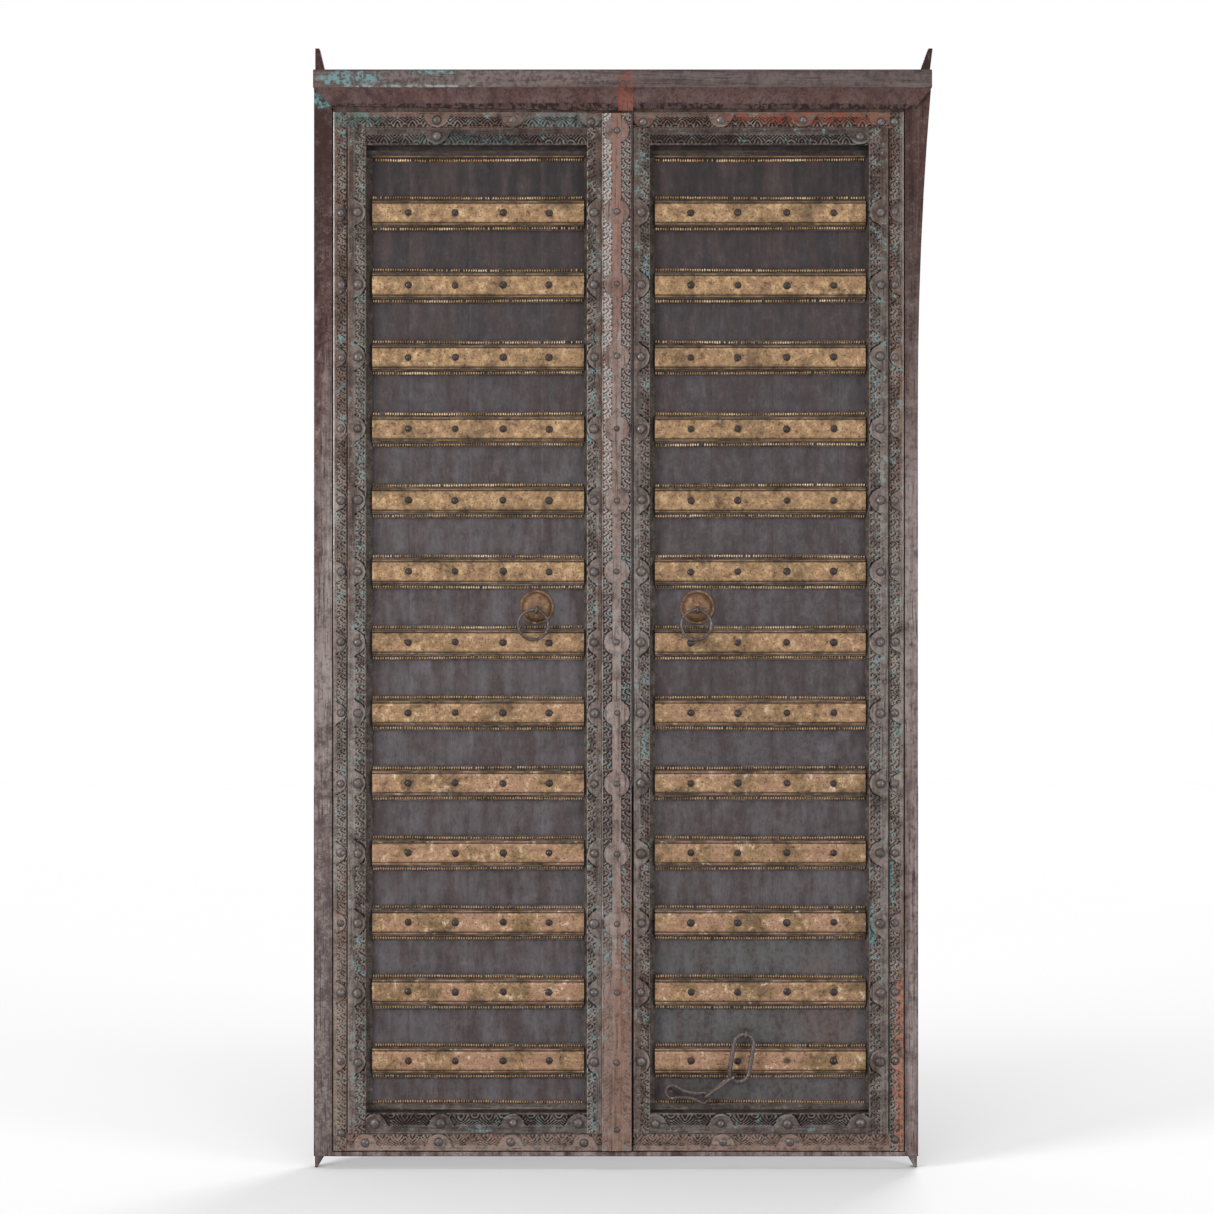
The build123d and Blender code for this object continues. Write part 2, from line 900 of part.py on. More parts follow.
def make_ring_pull(leaf):
    """A domed brass plate, the iron staple through it and the ring hung in the staple."""
    eye_radius = (ring_wire + eye_wire) / 2 + fit
    x_eye = leaf.x(leaf.rail_end - leaf.ring_inset)
    z_eye = pull_level - ring_hang
    lean = math.radians(leaf.ring_lean)
    with BuildPart() as plate:
        with BuildSketch(Plane.XY.offset(pull_level)):
            with BuildLine():
                Polyline(
                    (x_eye + plate_crown_radius, plank_front - plate_rise),
                    (x_eye, plank_front - plate_rise),
                    (x_eye, plank_front),
                    (x_eye + plate_radius, plank_front),
                    (x_eye + plate_radius, plank_front - plate_rim),
                    (x_eye + plate_radius - plate_rim_width, plank_front - plate_rim),
                )
                TangentArc(
                    (x_eye + plate_crown_radius, plank_front - plate_rise),
                    (x_eye + plate_radius - plate_rim_width, plank_front - plate_rim),
                    tangent=(1, 0),
                )
            make_face()
        revolve(axis=Axis((x_eye, plank_front, pull_level), (0, -1, 0)))
        leg_x = eye_radius * math.sin(lean)
        leg_z = eye_radius * math.cos(lean)
        with BuildSketch(front_plane(plank_front)):
            with Locations((x_eye - leg_x, z_eye - leg_z), (x_eye + leg_x, z_eye + leg_z)):
                Circle(eye_wire / 2 + joint_clearance)
        extrude(amount=plate_rise, mode=Mode.SUBTRACT)
    finish(plate, f"{leaf.side}_pull_plate")
    across = (math.cos(lean), 0, -math.sin(lean))
    make_staple(
        f"{leaf.side}_pull_staple",
        (x_eye, ring_front, z_eye),
        across,
        eye_radius,
        eye_wire,
        plank_front - fit,
    )
    ring_centre = (
        x_eye - ring_radius * math.sin(lean),
        ring_front,
        z_eye - ring_radius * math.cos(lean),
    )
    with BuildPart() as ring:
        with Locations(Location(ring_centre, (90, 0, 0))):
            Torus(ring_radius, ring_wire / 2)
    finish(ring, f"{leaf.side}_pull_ring")


# Latch chain


def fall(angle):
    """The direction, in X and Z, that leans to the left of straight down by an angle."""
    return (-math.sin(math.radians(angle)), -math.cos(math.radians(angle)))


def along(point, direction, distance):
    """The point at a distance from another along a direction in the door's face."""
    return (point[0] + direction[0] * distance, point[1] + direction[1] * distance)


def make_oval_link(label, top, direction, across, length, width, wire):
    """A forged oval link: two round ends and two straight sides of round bar."""
    radius = width / 2
    half = length / 2 - radius
    middle = along(top, direction, length / 2)
    origin = (middle[0], chain_front, middle[1])
    forward = (direction[0], 0, direction[1])
    with BuildPart() as link:
        with BuildLine(Plane(origin=origin, x_dir=forward, z_dir=across)) as path:
            Line((0, radius), (half, radius))
            ThreePointArc((half, radius), (half + radius, 0), (half, -radius))
            Line((half, -radius), (0, -radius))
        with BuildSketch(Plane(origin=path.line @ 0, z_dir=path.line % 0)):
            Circle(wire / 2)
        sweep()
        mirror(about=Plane(origin=origin, z_dir=forward))
    finish(link, label)


def make_figure_eight_link(label, small_centre, direction):
    """The hooking link: a small and a large loop drawn together at a waist."""
    small = link_3_small_loop
    large = link_3_large_loop
    bend = link_3_waist_radius
    lift = bend + link_3_waist
    to_large = math.sqrt((large + bend) ** 2 - lift**2)
    to_small = math.sqrt((small + bend) ** 2 - lift**2)
    spread = to_small + to_large
    small_side = (to_small * small / (small + bend), lift * small / (small + bend))
    large_side = (spread - to_large * large / (large + bend), lift * large / (large + bend))
    origin = (small_centre[0], chain_front, small_centre[1])
    forward = (direction[0], 0, direction[1])
    with BuildPart() as link:
        with BuildLine(Plane(origin=origin, x_dir=forward, z_dir=(0, -1, 0))) as path:
            ThreePointArc((-small, 0), (0, small), small_side)
            ThreePointArc(small_side, (to_small, link_3_waist), large_side)
            ThreePointArc(large_side, (spread, large), (spread + large, 0))
        with BuildSketch(Plane(origin=path.line @ 0, z_dir=path.line % 0)):
            Circle(thin_wire / 2)
        sweep()
        mirror(about=Plane(origin=origin, z_dir=(-direction[1], 0, direction[0])))
    finish(link, label)
    return along(small_centre, direction, spread)


def make_chain():
    """The latch chain: a staple, three links and the pin that the last one hooks over."""
    top = (right_leaf.x(right_leaf.width - chain_inset), strip_levels[-1] + chain_rise)
    hang = fall(link_1_lean)
    turn = fall(link_2_lean)
    reach = fall(link_3_lean)
    link_1_across = (-hang[1], 0, hang[0])
    make_staple(
        "chain_top_staple",
        (top[0], chain_front, top[1]),
        link_1_across,
        (chain_wire + staple_wire) / 2 + chain_slack,
        staple_wire,
        plank_front - fit,
    )
    make_oval_link("chain_link_1", top, hang, (0, -1, 0), link_1_length, link_1_width, chain_wire)
    end_centre = along(top, hang, link_1_length - link_1_width / 2)
    first_joint = along(end_centre, turn, link_1_width / 2)
    link_2_top = along(first_joint, turn, -(chain_wire + thin_wire) / 2 - chain_slack)
    make_oval_link(
        "chain_link_2",
        link_2_top,
        turn,
        (-turn[1], 0, turn[0]),
        link_2_length,
        link_2_width,
        thin_wire,
    )
    second_joint = along(link_2_top, turn, link_2_length - thin_wire - chain_slack)
    small_centre = along(second_joint, turn, link_3_small_loop)
    large_centre = make_figure_eight_link("chain_link_3", small_centre, reach)
    slack_in_loop = link_3_large_loop - thin_wire / 2 - pin_radius - pin_play
    pin_place = along(large_centre, reach, slack_in_loop)
    with BuildPart() as pin:
        with BuildSketch(front_plane(plank_front)):
            with Locations(pin_place):
                Circle(pin_radius)
        extrude(amount=plank_front - pin_front)
        chamfer(pin.faces().sort_by(Axis.Y)[0].edges(), pin_arris)
    finish(pin, "chain_pin")
    for name, place in (
        ("staple", top),
        ("first joint", first_joint),
        ("second joint", second_joint),
        ("pin", pin_place),
    ):
        print(f"chain {name}: x {place[0]:.2f}  z {place[1]:.2f}")


def make_astragal():
    """The cover strip on the left leaf's meeting stile: lobes to both sides of a ridge."""
    x_left = left_leaf.x(left_leaf.rail_end + left_leaf.meeting_moulding)
    x_right = left_leaf.x(left_leaf.width - astragal_inset)
    x_middle = (x_left + x_right) / 2
    astragal_front = leaf_front - astragal_depth
    astragal_foot = leaf_bottom + astragal_foot_gap
    astragal_top = rail_band_top - astragal_head_gap
    with BuildPart() as astragal:
        with BuildSketch(front_plane(leaf_front)):
            between(x_left, x_right, astragal_foot, astragal_top)
        extrude(amount=astragal_depth)
        front_corner = (x_right, astragal_front, astragal_foot)
        chamfer(
            astragal.edges().filter_by(Axis.Z).sort_by_distance(front_corner)[0],
            astragal_arris,
        )
        with BuildSketch(front_plane(astragal_front)):
            for x_outer, outward in ((x_left, -1), (x_right, 1)):
                between(
                    x_middle + outward * astragal_ridge / 2,
                    x_outer - outward * edge_margin,
                    astragal_foot + edge_margin,
                    astragal_top - edge_margin,
                )
            with Locations([(x_middle, level) for level in strip_levels]):
                Circle(astragal_lobe_radius, mode=Mode.SUBTRACT)
        extrude(amount=-carving_depth, mode=Mode.SUBTRACT)
    finish(astragal, "astragal")
    levels = [leaf_top - astragal_screw_drop, *strip_levels, leaf_bottom + astragal_screw_rise]
    make_studs(
        "astragal_studs",
        [(astragal_front, [(x_middle, level) for level in levels])],
        small_stud_radius,
        small_stud_crown,
    )


# Whole leaves


def make_leaf(leaf):
    """All pieces of a leaf."""
    top_band = [leaf.along_rail(share) for share in leaf.top_band_studs]
    top_moulding = [leaf.along_rail(share) for share in leaf.top_moulding_studs]
    foot_moulding = [leaf.along_rail(share) for share in leaf.foot_moulding_studs]
    foot_band = [leaf.along_rail(share) for share in leaf.foot_band_studs]
    make_hanging_stile(leaf)
    make_meeting_stile(leaf)
    make_rail(
        leaf, "top_rail", leaf_top, top_rail_foot, rail_band_top, top_moulding_top, top_band
    )
    make_rail(
        leaf,
        "bottom_rail",
        leaf_bottom,
        bottom_rail_top,
        leaf_bottom,
        bottom_moulding_foot,
        foot_band,
    )
    make_planks(leaf)
    make_back_battens(leaf)
    make_side_moulding(
        leaf, "hanging_moulding", leaf.outer_band + leaf.groove, leaf.hanging_stile
    )
    make_side_moulding(
        leaf, "meeting_moulding", leaf.rail_end + leaf.meeting_moulding, leaf.rail_end
    )
    make_rail_moulding(leaf, "top_moulding", top_moulding_top, top_rail_foot, top_moulding)
    make_rail_moulding(
        leaf, "bottom_moulding", bottom_moulding_foot, bottom_rail_top, foot_moulding
    )
    make_panel_beads(leaf)
    make_ledges(leaf)
    make_brass_strips(leaf)
    make_beaded_edging(leaf)
    make_strip_nails(leaf)
    make_leaf_studs(leaf, top_band, top_moulding, foot_moulding, foot_band)
    make_ring_pull(leaf)


def main():
    os.makedirs("parts", exist_ok=True)
    make_left_jamb()
    make_right_jamb()
    make_head_beam()
    make_head_facings()
    make_sill()
    make_leaf(left_leaf)
    make_astragal()
    make_leaf(right_leaf)
    make_chain()


main()
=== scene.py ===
"""A carved wooden double door: its looks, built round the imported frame.

Metres, +Z up. The carved face looks towards -Y. Each operator makes one group of like pieces.
"""

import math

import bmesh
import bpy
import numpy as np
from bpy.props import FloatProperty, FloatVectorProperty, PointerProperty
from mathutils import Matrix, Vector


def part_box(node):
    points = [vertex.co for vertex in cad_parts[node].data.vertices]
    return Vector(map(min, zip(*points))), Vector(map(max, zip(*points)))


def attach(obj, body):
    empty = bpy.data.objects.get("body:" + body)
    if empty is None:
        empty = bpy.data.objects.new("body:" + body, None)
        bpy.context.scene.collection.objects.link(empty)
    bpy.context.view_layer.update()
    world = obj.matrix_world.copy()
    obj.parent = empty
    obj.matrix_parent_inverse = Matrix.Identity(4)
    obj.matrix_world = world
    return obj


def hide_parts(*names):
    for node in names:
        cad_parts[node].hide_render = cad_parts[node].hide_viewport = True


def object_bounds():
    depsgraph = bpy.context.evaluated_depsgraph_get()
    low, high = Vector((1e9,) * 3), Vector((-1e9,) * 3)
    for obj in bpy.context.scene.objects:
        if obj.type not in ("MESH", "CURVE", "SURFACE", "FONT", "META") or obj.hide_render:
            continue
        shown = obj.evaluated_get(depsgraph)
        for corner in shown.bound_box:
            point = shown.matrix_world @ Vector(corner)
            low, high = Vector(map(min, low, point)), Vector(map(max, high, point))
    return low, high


bl_info = {
    "name": "Carved Double Door",
    "version": (1, 0, 0),
    "blender": (4, 5, 0),
    "location": "View3D > Sidebar > Door",
    "description": "Carving, brass, studs and finishes for a carved double door in its frame",
    "category": "Object",
}

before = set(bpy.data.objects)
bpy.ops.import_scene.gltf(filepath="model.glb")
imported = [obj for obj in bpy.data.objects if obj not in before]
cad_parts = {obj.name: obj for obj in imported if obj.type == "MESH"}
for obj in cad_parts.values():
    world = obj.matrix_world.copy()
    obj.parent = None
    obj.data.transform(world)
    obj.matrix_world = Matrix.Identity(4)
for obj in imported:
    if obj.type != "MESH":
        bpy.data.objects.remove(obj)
cad_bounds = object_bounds()

MM = 0.001

# The y of the faces that are made afresh, in millimetres
LEAF_FACE = -10.0
MOULDING_FACE = -20.0
ASTRAGAL_FACE = -26.0
LEDGE_FACE = -4.0
STRIP_FACE = -6.5
PLANK_FACE = 6.0
BAND_DEPTH = 3.2
SIDES = ("left", "right")

# Half lengths of the plain lobes round the studs, and the fans' spacing, in millimetres
MOULDING_LOBE = 30.0
STILE_BAND_LOBE = 24.0
TOP_MOULDING_FANS = 44.0
BOTTOM_MOULDING_FANS = 56.0
BAND_FANS = 30.0

# Studs of the rail bands that the solids leave out, as x and z in millimetres
RAIL_STUDS = {
    "left": ((-48.0, 2068.0), (-500.0, 26.0), (-62.0, 26.0)),
    "right": ((56.0, 2068.0), (532.0, 2068.0)),
}
RAIL_STUD_RADIUS = 9.5
RAIL_STUD_CROWN = 7.0

# Dimples of the brass strips at their nails, in millimetres
DIMPLE_DEPTH = 1.6
DIMPLE_RADIUS = 10.0
DIMPLE_DIRT = 8.5

# Camera, in metres
VIEW_WIDTH = 2.428
VIEW_DISTANCE = 6.5
VIEW_CENTRE = (-0.016, -0.013, 1.098)
SENSOR_MM = 36.0


def length_property(name, description, millimetres):
    """A length that a user would change."""
    return FloatProperty(
        name=name,
        description=description,
        default=millimetres * MM,
        subtype="DISTANCE",
        unit="LENGTH",
    )


class DoorSizes(bpy.types.PropertyGroup):
    """Sizes that a user would change."""

    carve_step: length_property("Carving step", "Grid size of the carved boards", 1.7)
    recess: length_property("Recess", "How deep the scrollwork is cut", 3.2)
    chip_pitch: length_property("Chip pitch", "Spacing of the small gouge cuts", 7.0)
    scroll_pitch: length_property("Scroll pitch", "Length of one turn of the scrollwork", 22.0)
    bead_pitch: length_property("Bead pitch", "Spacing of the brass beads", 4.9)
    stud_scale: FloatProperty(
        name="Stud scale",
        description="Width of the domed studs against the blunt ones in the solids",
        default=1.0,
    )
    dent: length_property("Dents", "Depth of the hammer marks in the brass strips", 0.9)


def linear(code):
    """An sRGB hex colour as linear numbers."""
    parts = [int(code[i : i + 2], 16) / 255 for i in (1, 3, 5)]
    return tuple(c / 12.92 if c <= 0.04045 else ((c + 0.055) / 1.055) ** 2.4 for c in parts)


def colour_property(name, description, code):
    """A colour that a user would change, from its sRGB hex value."""
    return FloatVectorProperty(
        name=name,
        description=description,
        default=linear(code),
        subtype="COLOR",
        min=0.0,
        max=1.0,
    )


class DoorColours(bpy.types.PropertyGroup):
    """Colours that a user would change."""

    turquoise: colour_property("Turquoise", "Old paint left in the carving", "#66898b")
    brass: colour_property("Brass", "Strips, beads and pull plates", "#8a6e50")
    iron: colour_property("Iron", "Rings, chain and staples", "#5c5352")
    stud: colour_property("Studs", "Domed studs", "#5e5654")
    planks: colour_property("Planks", "Boards behind the brass", "#544f51")


# Nodes


def add(tree, kind, inputs=None, **settings):
    """Add a node, set its properties, and link or set its inputs."""
    node = tree.nodes.new(kind)
    for key, value in settings.items():
        setattr(node, key, value)
    for socket, value in (inputs or {}).items():
        if isinstance(value, bpy.types.NodeSocket):
            tree.links.new(value, node.inputs[socket])
        else:
            node.inputs[socket].default_value = value
    return node


def new_material(name):
    """An empty material, its node tree and its shader."""
    material = bpy.data.materials.new(name)
    material.use_nodes = True
    tree = material.node_tree
    tree.nodes.clear()
    shader = add(tree, "ShaderNodeBsdfPrincipled")
    add(tree, "ShaderNodeOutputMaterial", {"Surface": shader.outputs[0]})
    return material, tree, shader


def blend(tree, factor, first, second):
    """Colour first turning to second by a factor; a colour may be an sRGB hex value."""
    mix = add(tree, "ShaderNodeMix", data_type="RGBA")
    for socket, value in ((0, factor), (6, first), (7, second)):
        if isinstance(value, bpy.types.NodeSocket):
            tree.links.new(value, mix.inputs[socket])
        elif socket == 0:
            mix.inputs[0].default_value = value
        else:
            colour = linear(value) if isinstance(value, str) else value
            mix.inputs[socket].default_value = (*colour, 1.0)
    return mix.outputs[2]


def ramp(tree, value, low, high, to_low=0.0, to_high=1.0):
    """A value stretched smoothly from one range to another."""
    return add(
        tree,
        "ShaderNodeMapRange",
        {0: value, 1: low, 2: high, 3: to_low, 4: to_high},
        interpolation_type="SMOOTHSTEP",
    ).outputs[0]


def stain(tree, colour, value, low, high, strength, other):
    """A colour that turns to another, up to a strength, as a value goes from low to high."""
    return blend(tree, ramp(tree, value, low, high, 0.0, strength), colour, other)


def maths(tree, operation, *values):
    """The result of a math node."""
    return add(tree, "ShaderNodeMath", dict(enumerate(values)), operation=operation).outputs[0]


def product(tree, first, second):
    """Two values multiplied."""
    return maths(tree, "MULTIPLY", first, second)


def vector_maths(tree, operation, *values):
    """The outputs of a vector math node: a vector and a number."""
    inputs = dict(enumerate(values))
    return add(tree, "ShaderNodeVectorMath", inputs, operation=operation).outputs


def zone(tree, place, ragged, centre, radii):
    """A ragged-edged patch round a point of the door, 1 inside and 0 outside."""
    offset = vector_maths(tree, "SUBTRACT", place, centre)[0]
    scaled = vector_maths(tree, "DIVIDE", offset, radii)[0]
    reach = vector_maths(tree, "LENGTH", scaled)[1]
    worn = maths(tree, "MULTIPLY_ADD", ragged, 1.6, reach)
    return ramp(tree, worn, 1.55, 1.85, 1.0, 0.0)


def mottle(tree, vector, scale, detail=4.0, roughness=0.6):
    """Soft noise, about 0.3 to 0.7."""
    return add(
        tree,
        "ShaderNodeTexNoise",
        {"Vector": vector, "Scale": scale, "Detail": detail, "Roughness": roughness},
    ).outputs[0]


def place_on_door(tree):
    """The place in the door's own metres, and its height."""
    place = add(tree, "ShaderNodeTexCoord").outputs["Object"]
    return place, add(tree, "ShaderNodeSeparateXYZ", {0: place}).outputs[2]


def attribute(tree, name):
    """A value that the carving leaves on a piece: recess, or wear with painted highlight."""
    return add(tree, "ShaderNodeAttribute", attribute_name=name).outputs["Fac"]


def surface(tree, shader, colour, rough, grain, strength, distance):
    """Give a shader its colour and roughness, and its grain as fine bumps of a depth in mm."""
    bump = {"Strength": strength, "Distance": distance * MM, "Height": grain}
    relief = add(tree, "ShaderNodeBump", bump).outputs[0]
    for socket, value in (("Base Color", colour), ("Roughness", rough), ("Normal", relief)):
        tree.links.new(value, shader.inputs[socket])


def aged_wood(name, head, foot, dark, pale, along, patches, **looks):
    """Old hand-worked hardwood, dry and dusty: streaks along the grain, dark checks, rubbed edges;
    its cuts darkened with dirt and painted shade, its whitest arrises partly painted highlight.

    head and foot are its colours at the top of the door and from the pulls down, along is its
    grain, and patches are keys of PATCHES. Looks may give tint, a second colour that the
    streaks turn to; paint, how much of the old turquoise is left in the carving; streaks and
    fibres, their strength; stretch, the figure's scale along the grain; roughness; polish;
    and bump.
    """
    material, tree, shader = new_material(name)
    turquoise = tuple(bpy.context.scene.door_colours.turquoise)
    streaks = looks.get("streaks", 0.45)
    fibres = looks.get("fibres", 0.8)
    roughness = looks.get("roughness", 0.62)
    place, height = place_on_door(tree)
    stretch = [1.0, 1.0, 1.0]
    stretch["XYZ".index(along)] = looks.get("stretch", 0.05)
    grain = add(tree, "ShaderNodeMapping", {"Vector": place, "Scale": stretch}).outputs[0]
    # Fibres about 3 mm wide, streaks about 12 mm, tone over a hand's breadth, specks of dust,
    # patches about 25 mm across and flakes of 8 mm
    fibre = mottle(tree, grain, 330.0, 5.0, 0.65)
    streak = mottle(tree, grain, 80.0, 4.0, 0.6)
    tone = mottle(tree, grain, 26.0, 3.0)
    broad = mottle(tree, place, 10.0, 3.0)
    speck = mottle(tree, place, 190.0, 4.0, 0.72)
    patchy = mottle(tree, place, 40.0, 6.0, 0.74)
    flaky = mottle(tree, place, 120.0, 3.0, 0.6)
    colour = blend(tree, ramp(tree, height, 1.1, 2.05), foot, head)
    if "tint" in looks:
        colour = stain(tree, colour, tone, 0.4, 0.64, 0.8, looks["tint"])
    # Dust lies lighter on the lower half than under the beam
    dusty = ramp(tree, height, 1.1, 2.05, streaks, 0.35 * streaks)
    for noise, start, full, strength, other in (
        (streak, 0.5, 0.74, dusty, pale),
        (streak, 0.5, 0.3, streaks, dark),
        (broad, 0.5, 0.3, 0.5 * fibres, dark),
        (patchy, 0.5, 0.36, 0.6 * fibres, dark),
        (patchy, 0.52, 0.68, dusty, pale),
        (flaky, 0.47, 0.37, 0.45 * fibres, dark),
        (fibre, 0.47, 0.34, fibres, dark),
        (speck, 0.54, 0.72, dusty, pale),
    ):
        colour = stain(tree, colour, noise, start, full, strength, other)
    recess = attribute(tree, "recess")
    wear = attribute(tree, "wear")
    # The cuts are darkened nearly to black: partly dirt in them, partly painted shade
    colour = stain(tree, colour, recess, 0.1, 0.8, 0.94, "#171312")
    rubbed_and_highlight = product(tree, ramp(tree, wear, 0.05, 0.6), ramp(tree, speck, 0.3, 0.55, 0.4, 0.9))
    colour = blend(tree, rubbed_and_highlight, colour, pale)
    # The highest wear turns near white: rubbed-through finish, and partly painted highlight on
    # arrises that face the light
    chalk_and_highlight = product(tree, ramp(tree, wear, 0.62, 0.85), ramp(tree, patchy, 0.34, 0.5, 0.3, 0.95))
    colour = blend(tree, chalk_and_highlight, colour, "#c6c2c1")
    if "paint" in looks:
        # Turquoise clings to the sides of the cuts, in stretches of the carving
        kept = looks["paint"]
        sides = product(tree, ramp(tree, recess, 0.04, 0.2), ramp(tree, recess, 0.8, 0.5))
        flakes = ramp(tree, flaky, 0.5, 0.56)
        stretches = ramp(tree, patchy, 0.6 - 0.1 * kept, 0.66 - 0.1 * kept)
        stretches = product(tree, stretches, ramp(tree, broad, 0.44, 0.54, 0.2, 1.0))
        left = product(tree, product(tree, sides, flakes), stretches)
        colour = blend(tree, left, colour, turquoise)
    for centre, radii, code, strength in (PATCHES[key] for key in patches):
        mask = zone(tree, place, patchy, centre, radii)
        thin = ramp(tree, flaky, 0.42, 0.58, strength * 0.1, strength)
        colour = blend(tree, product(tree, mask, thin), colour, code)
    rough = ramp(tree, fibre, 0.3, 0.7, roughness + 0.12, roughness - 0.08)
    shader.inputs["Specular IOR Level"].default_value = looks.get("polish", 0.12)
    grainy = maths(tree, "MULTIPLY_ADD", speck, 0.5, fibre)
    surface(tree, shader, colour, rough, grainy, looks.get("bump", 0.6), 0.9)
    return material


def beaten_brass(name, high, base, low, pits=0.85, runs=0.0):
    """Hand-beaten sheet brass: mottled, rubbed bright on the high spots, brown in the dents.

    pits is how dark its pits are, and runs how bright the rubbed stretches are; on the beads these
    bright runs are partly painted highlight.
    """
    material, tree, shader = new_material(name)
    place, height = place_on_door(tree)
    # Tarnish over a hand's breadth, blotches about 16 mm across, and pits of about 4 mm
    broad = mottle(tree, place, 13.0, 3.0)
    blotch = mottle(tree, place, 62.0, 6.0, 0.74)
    pitting = mottle(tree, place, 260.0, 4.0, 0.72)
    colour = stain(tree, base, blotch, 0.46, 0.34, 0.9, low)
    colour = stain(tree, colour, blotch, 0.48, 0.62, 0.6, high)
    colour = stain(tree, colour, broad, 0.5, 0.32, 0.6, low)
    # Bright runs: rubbed brass, and on the beads partly painted highlight
    colour = stain(tree, colour, broad, 0.48, 0.62, runs, high)
    # Low on the door the brass has gone pinkish where the zinc has washed out
    washed = ramp(tree, height, 1.3, 0.5, 0.1, 0.62)
    pink = product(tree, washed, ramp(tree, broad, 0.42, 0.6))
    colour = blend(tree, pink, colour, "#a07b68")
    white = product(tree, washed, ramp(tree, blotch, 0.58, 0.66, 0.0, 0.9))
    colour = blend(tree, white, colour, "#d8c8b8")
    colour = stain(tree, colour, pitting, 0.45, 0.38, pits, "#33271f")
    colour = stain(tree, colour, attribute(tree, "recess"), 0.1, 0.9, 0.92, "#241c18")
    shader.inputs["Metallic"].default_value = 0.6
    rough = ramp(tree, blotch, 0.3, 0.7, 0.66, 0.42)
    surface(tree, shader, colour, rough, pitting, 0.6, 0.8)
    return material


def forged_iron(name, base, rust, bright):
    """Forged iron, rubbed smooth by hands, brown in the pores, with pale specks that are partly
    painted highlight.
    """
    material, tree, shader = new_material(name)
    place = place_on_door(tree)[0]
    scale = mottle(tree, place, 240.0, 5.0, 0.65)
    broad = mottle(tree, place, 12.0, 2.0)
    colour = stain(tree, base, scale, 0.5, 0.34, 0.8, rust)
    colour = stain(tree, colour, broad, 0.5, 0.35, 0.6, rust)
    # Pale specks: rubbed metal, and partly painted highlight
    colour = stain(tree, colour, scale, 0.56, 0.7, 0.6, bright)
    shader.inputs["Metallic"].default_value = 0.6
    rough = ramp(tree, scale, 0.3, 0.7, 0.6, 0.36)
    surface(tree, shader, colour, rough, scale, 0.5, 0.5)
    return material


# Mesh helpers


def node_box(node):
    """A CAD node's lowest and highest corners, in millimetres."""
    low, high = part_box(node)
    return [c / MM for c in low], [c / MM for c in high]


def solids_of(node):
    """The lowest and highest corners of each separate solid of a CAD node, in millimetres."""
    bm = bmesh.new()
    bm.from_mesh(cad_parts[node].data)
    bmesh.ops.remove_doubles(bm, verts=bm.verts, dist=0.01 * MM)
    seen = set()
    boxes = []
    for first in bm.verts:
        if first in seen:
            continue
        seen.add(first)
        group = [first]
        for vert in group:
            for edge in vert.link_edges:
                other = edge.other_vert(vert)
                if other not in seen:
                    seen.add(other)
                    group.append(other)
        spots = np.array([v.co for v in group]) / MM
        boxes.append((tuple(spots.min(axis=0)), tuple(spots.max(axis=0))))
    bm.free()
    return sorted(boxes)


def middles(node, axis):
    """The middles of a node's solids along an axis, each once, in millimetres."""
    spots = {round((low[axis] + high[axis]) / 2, 1) for low, high in solids_of(node)}
    return sorted(spots)


def finish_piece(bm, name, material, body, slot, *nodes):
    """Turn a bmesh into a piece that rides on a body and stands for CAD nodes."""
    for face in bm.faces:
        face.smooth = True
    mesh = bpy.data.meshes.new(name)
    bm.to_mesh(mesh)
    bm.free()
    mesh.set_sharp_from_angle(angle=math.radians(55))
    piece = bpy.data.objects.new(name, mesh)
    bpy.context.scene.collection.objects.link(piece)
    mesh.materials.append(material)
    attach(piece, body)
    if nodes:
        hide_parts(*nodes)
    return piece


def give_material(material, *nodes):
    """A CAD node keeps its shape and gets a finish."""
    for node in nodes:
        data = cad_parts[node].data
        data.materials.clear()
        data.materials.append(material)


def ripple(x, z, size, seed):
    """Smooth uneven noise from -1 to 1 over arrays of places in millimetres, from a seed."""
    random = np.random.default_rng(seed)
    total = np.zeros_like(x)
    for _ in range(7):
        angle = random.uniform(0, 2 * math.pi)
        length = size * random.uniform(0.7, 1.8)
        phase = random.uniform(0, 2 * math.pi)
        total += np.sin((x * math.cos(angle) + z * math.sin(angle)) * 2 * math.pi / length + phase)
    return total / 4.0


def smooth(value, low, high):
    """A smooth step from 0 at low to 1 at high, over an array."""
    share = np.clip((value - low) / (high - low), 0.0, 1.0)
    return share * share * (3.0 - 2.0 * share)


def relief_board(bm, lower_left, upper_right, faces, steps, relief):
    """A board whose front is a fine grid moved by a relief function, with walls and a flat back.

    faces are the y of its front and back, and steps the grid's in x and z. relief takes
    arrays of x and z and gives height, recess, and wear with painted highlight, for each.
    """
    (x0, z0), (x1, z1) = lower_left, upper_right
    face, back = faces
    nx = max(1, round((x1 - x0) / steps[0]))
    nz = max(1, round((z1 - z0) / steps[1]))
    recess_layer = bm.verts.layers.float.get("recess") or bm.verts.layers.float.new("recess")
    wear_and_highlight_layer = bm.verts.layers.float.get("wear") or bm.verts.layers.float.new("wear")
    grid = bmesh.ops.create_grid(bm, x_segments=nx, y_segments=nz, size=0.5)["verts"]
    flat = np.array([v.co for v in grid])
    x = x0 + (flat[:, 0] + 0.5) * (x1 - x0)
    z = z0 + (flat[:, 1] + 0.5) * (z1 - z0)
    height, recess, wear = relief(x, z)
    for i, vert in enumerate(grid):
        vert.co = (x[i] * MM, (face - height[i]) * MM, z[i] * MM)
        vert[recess_layer] = float(recess[i])
        vert[wear_and_highlight_layer] = float(wear[i])
    rim = [e for e in {e for v in grid for e in v.link_edges} if e.is_boundary]
    walls = bmesh.ops.extrude_edge_only(bm, edges=rim)["geom"]
    for vert in (g for g in walls if isinstance(g, bmesh.types.BMVert)):
        vert.co.y = back * MM
    foot = [g for g in walls if isinstance(g, bmesh.types.BMEdge) and g.is_boundary]
    bmesh.ops.holes_fill(bm, edges=foot, sides=0)


# Carving


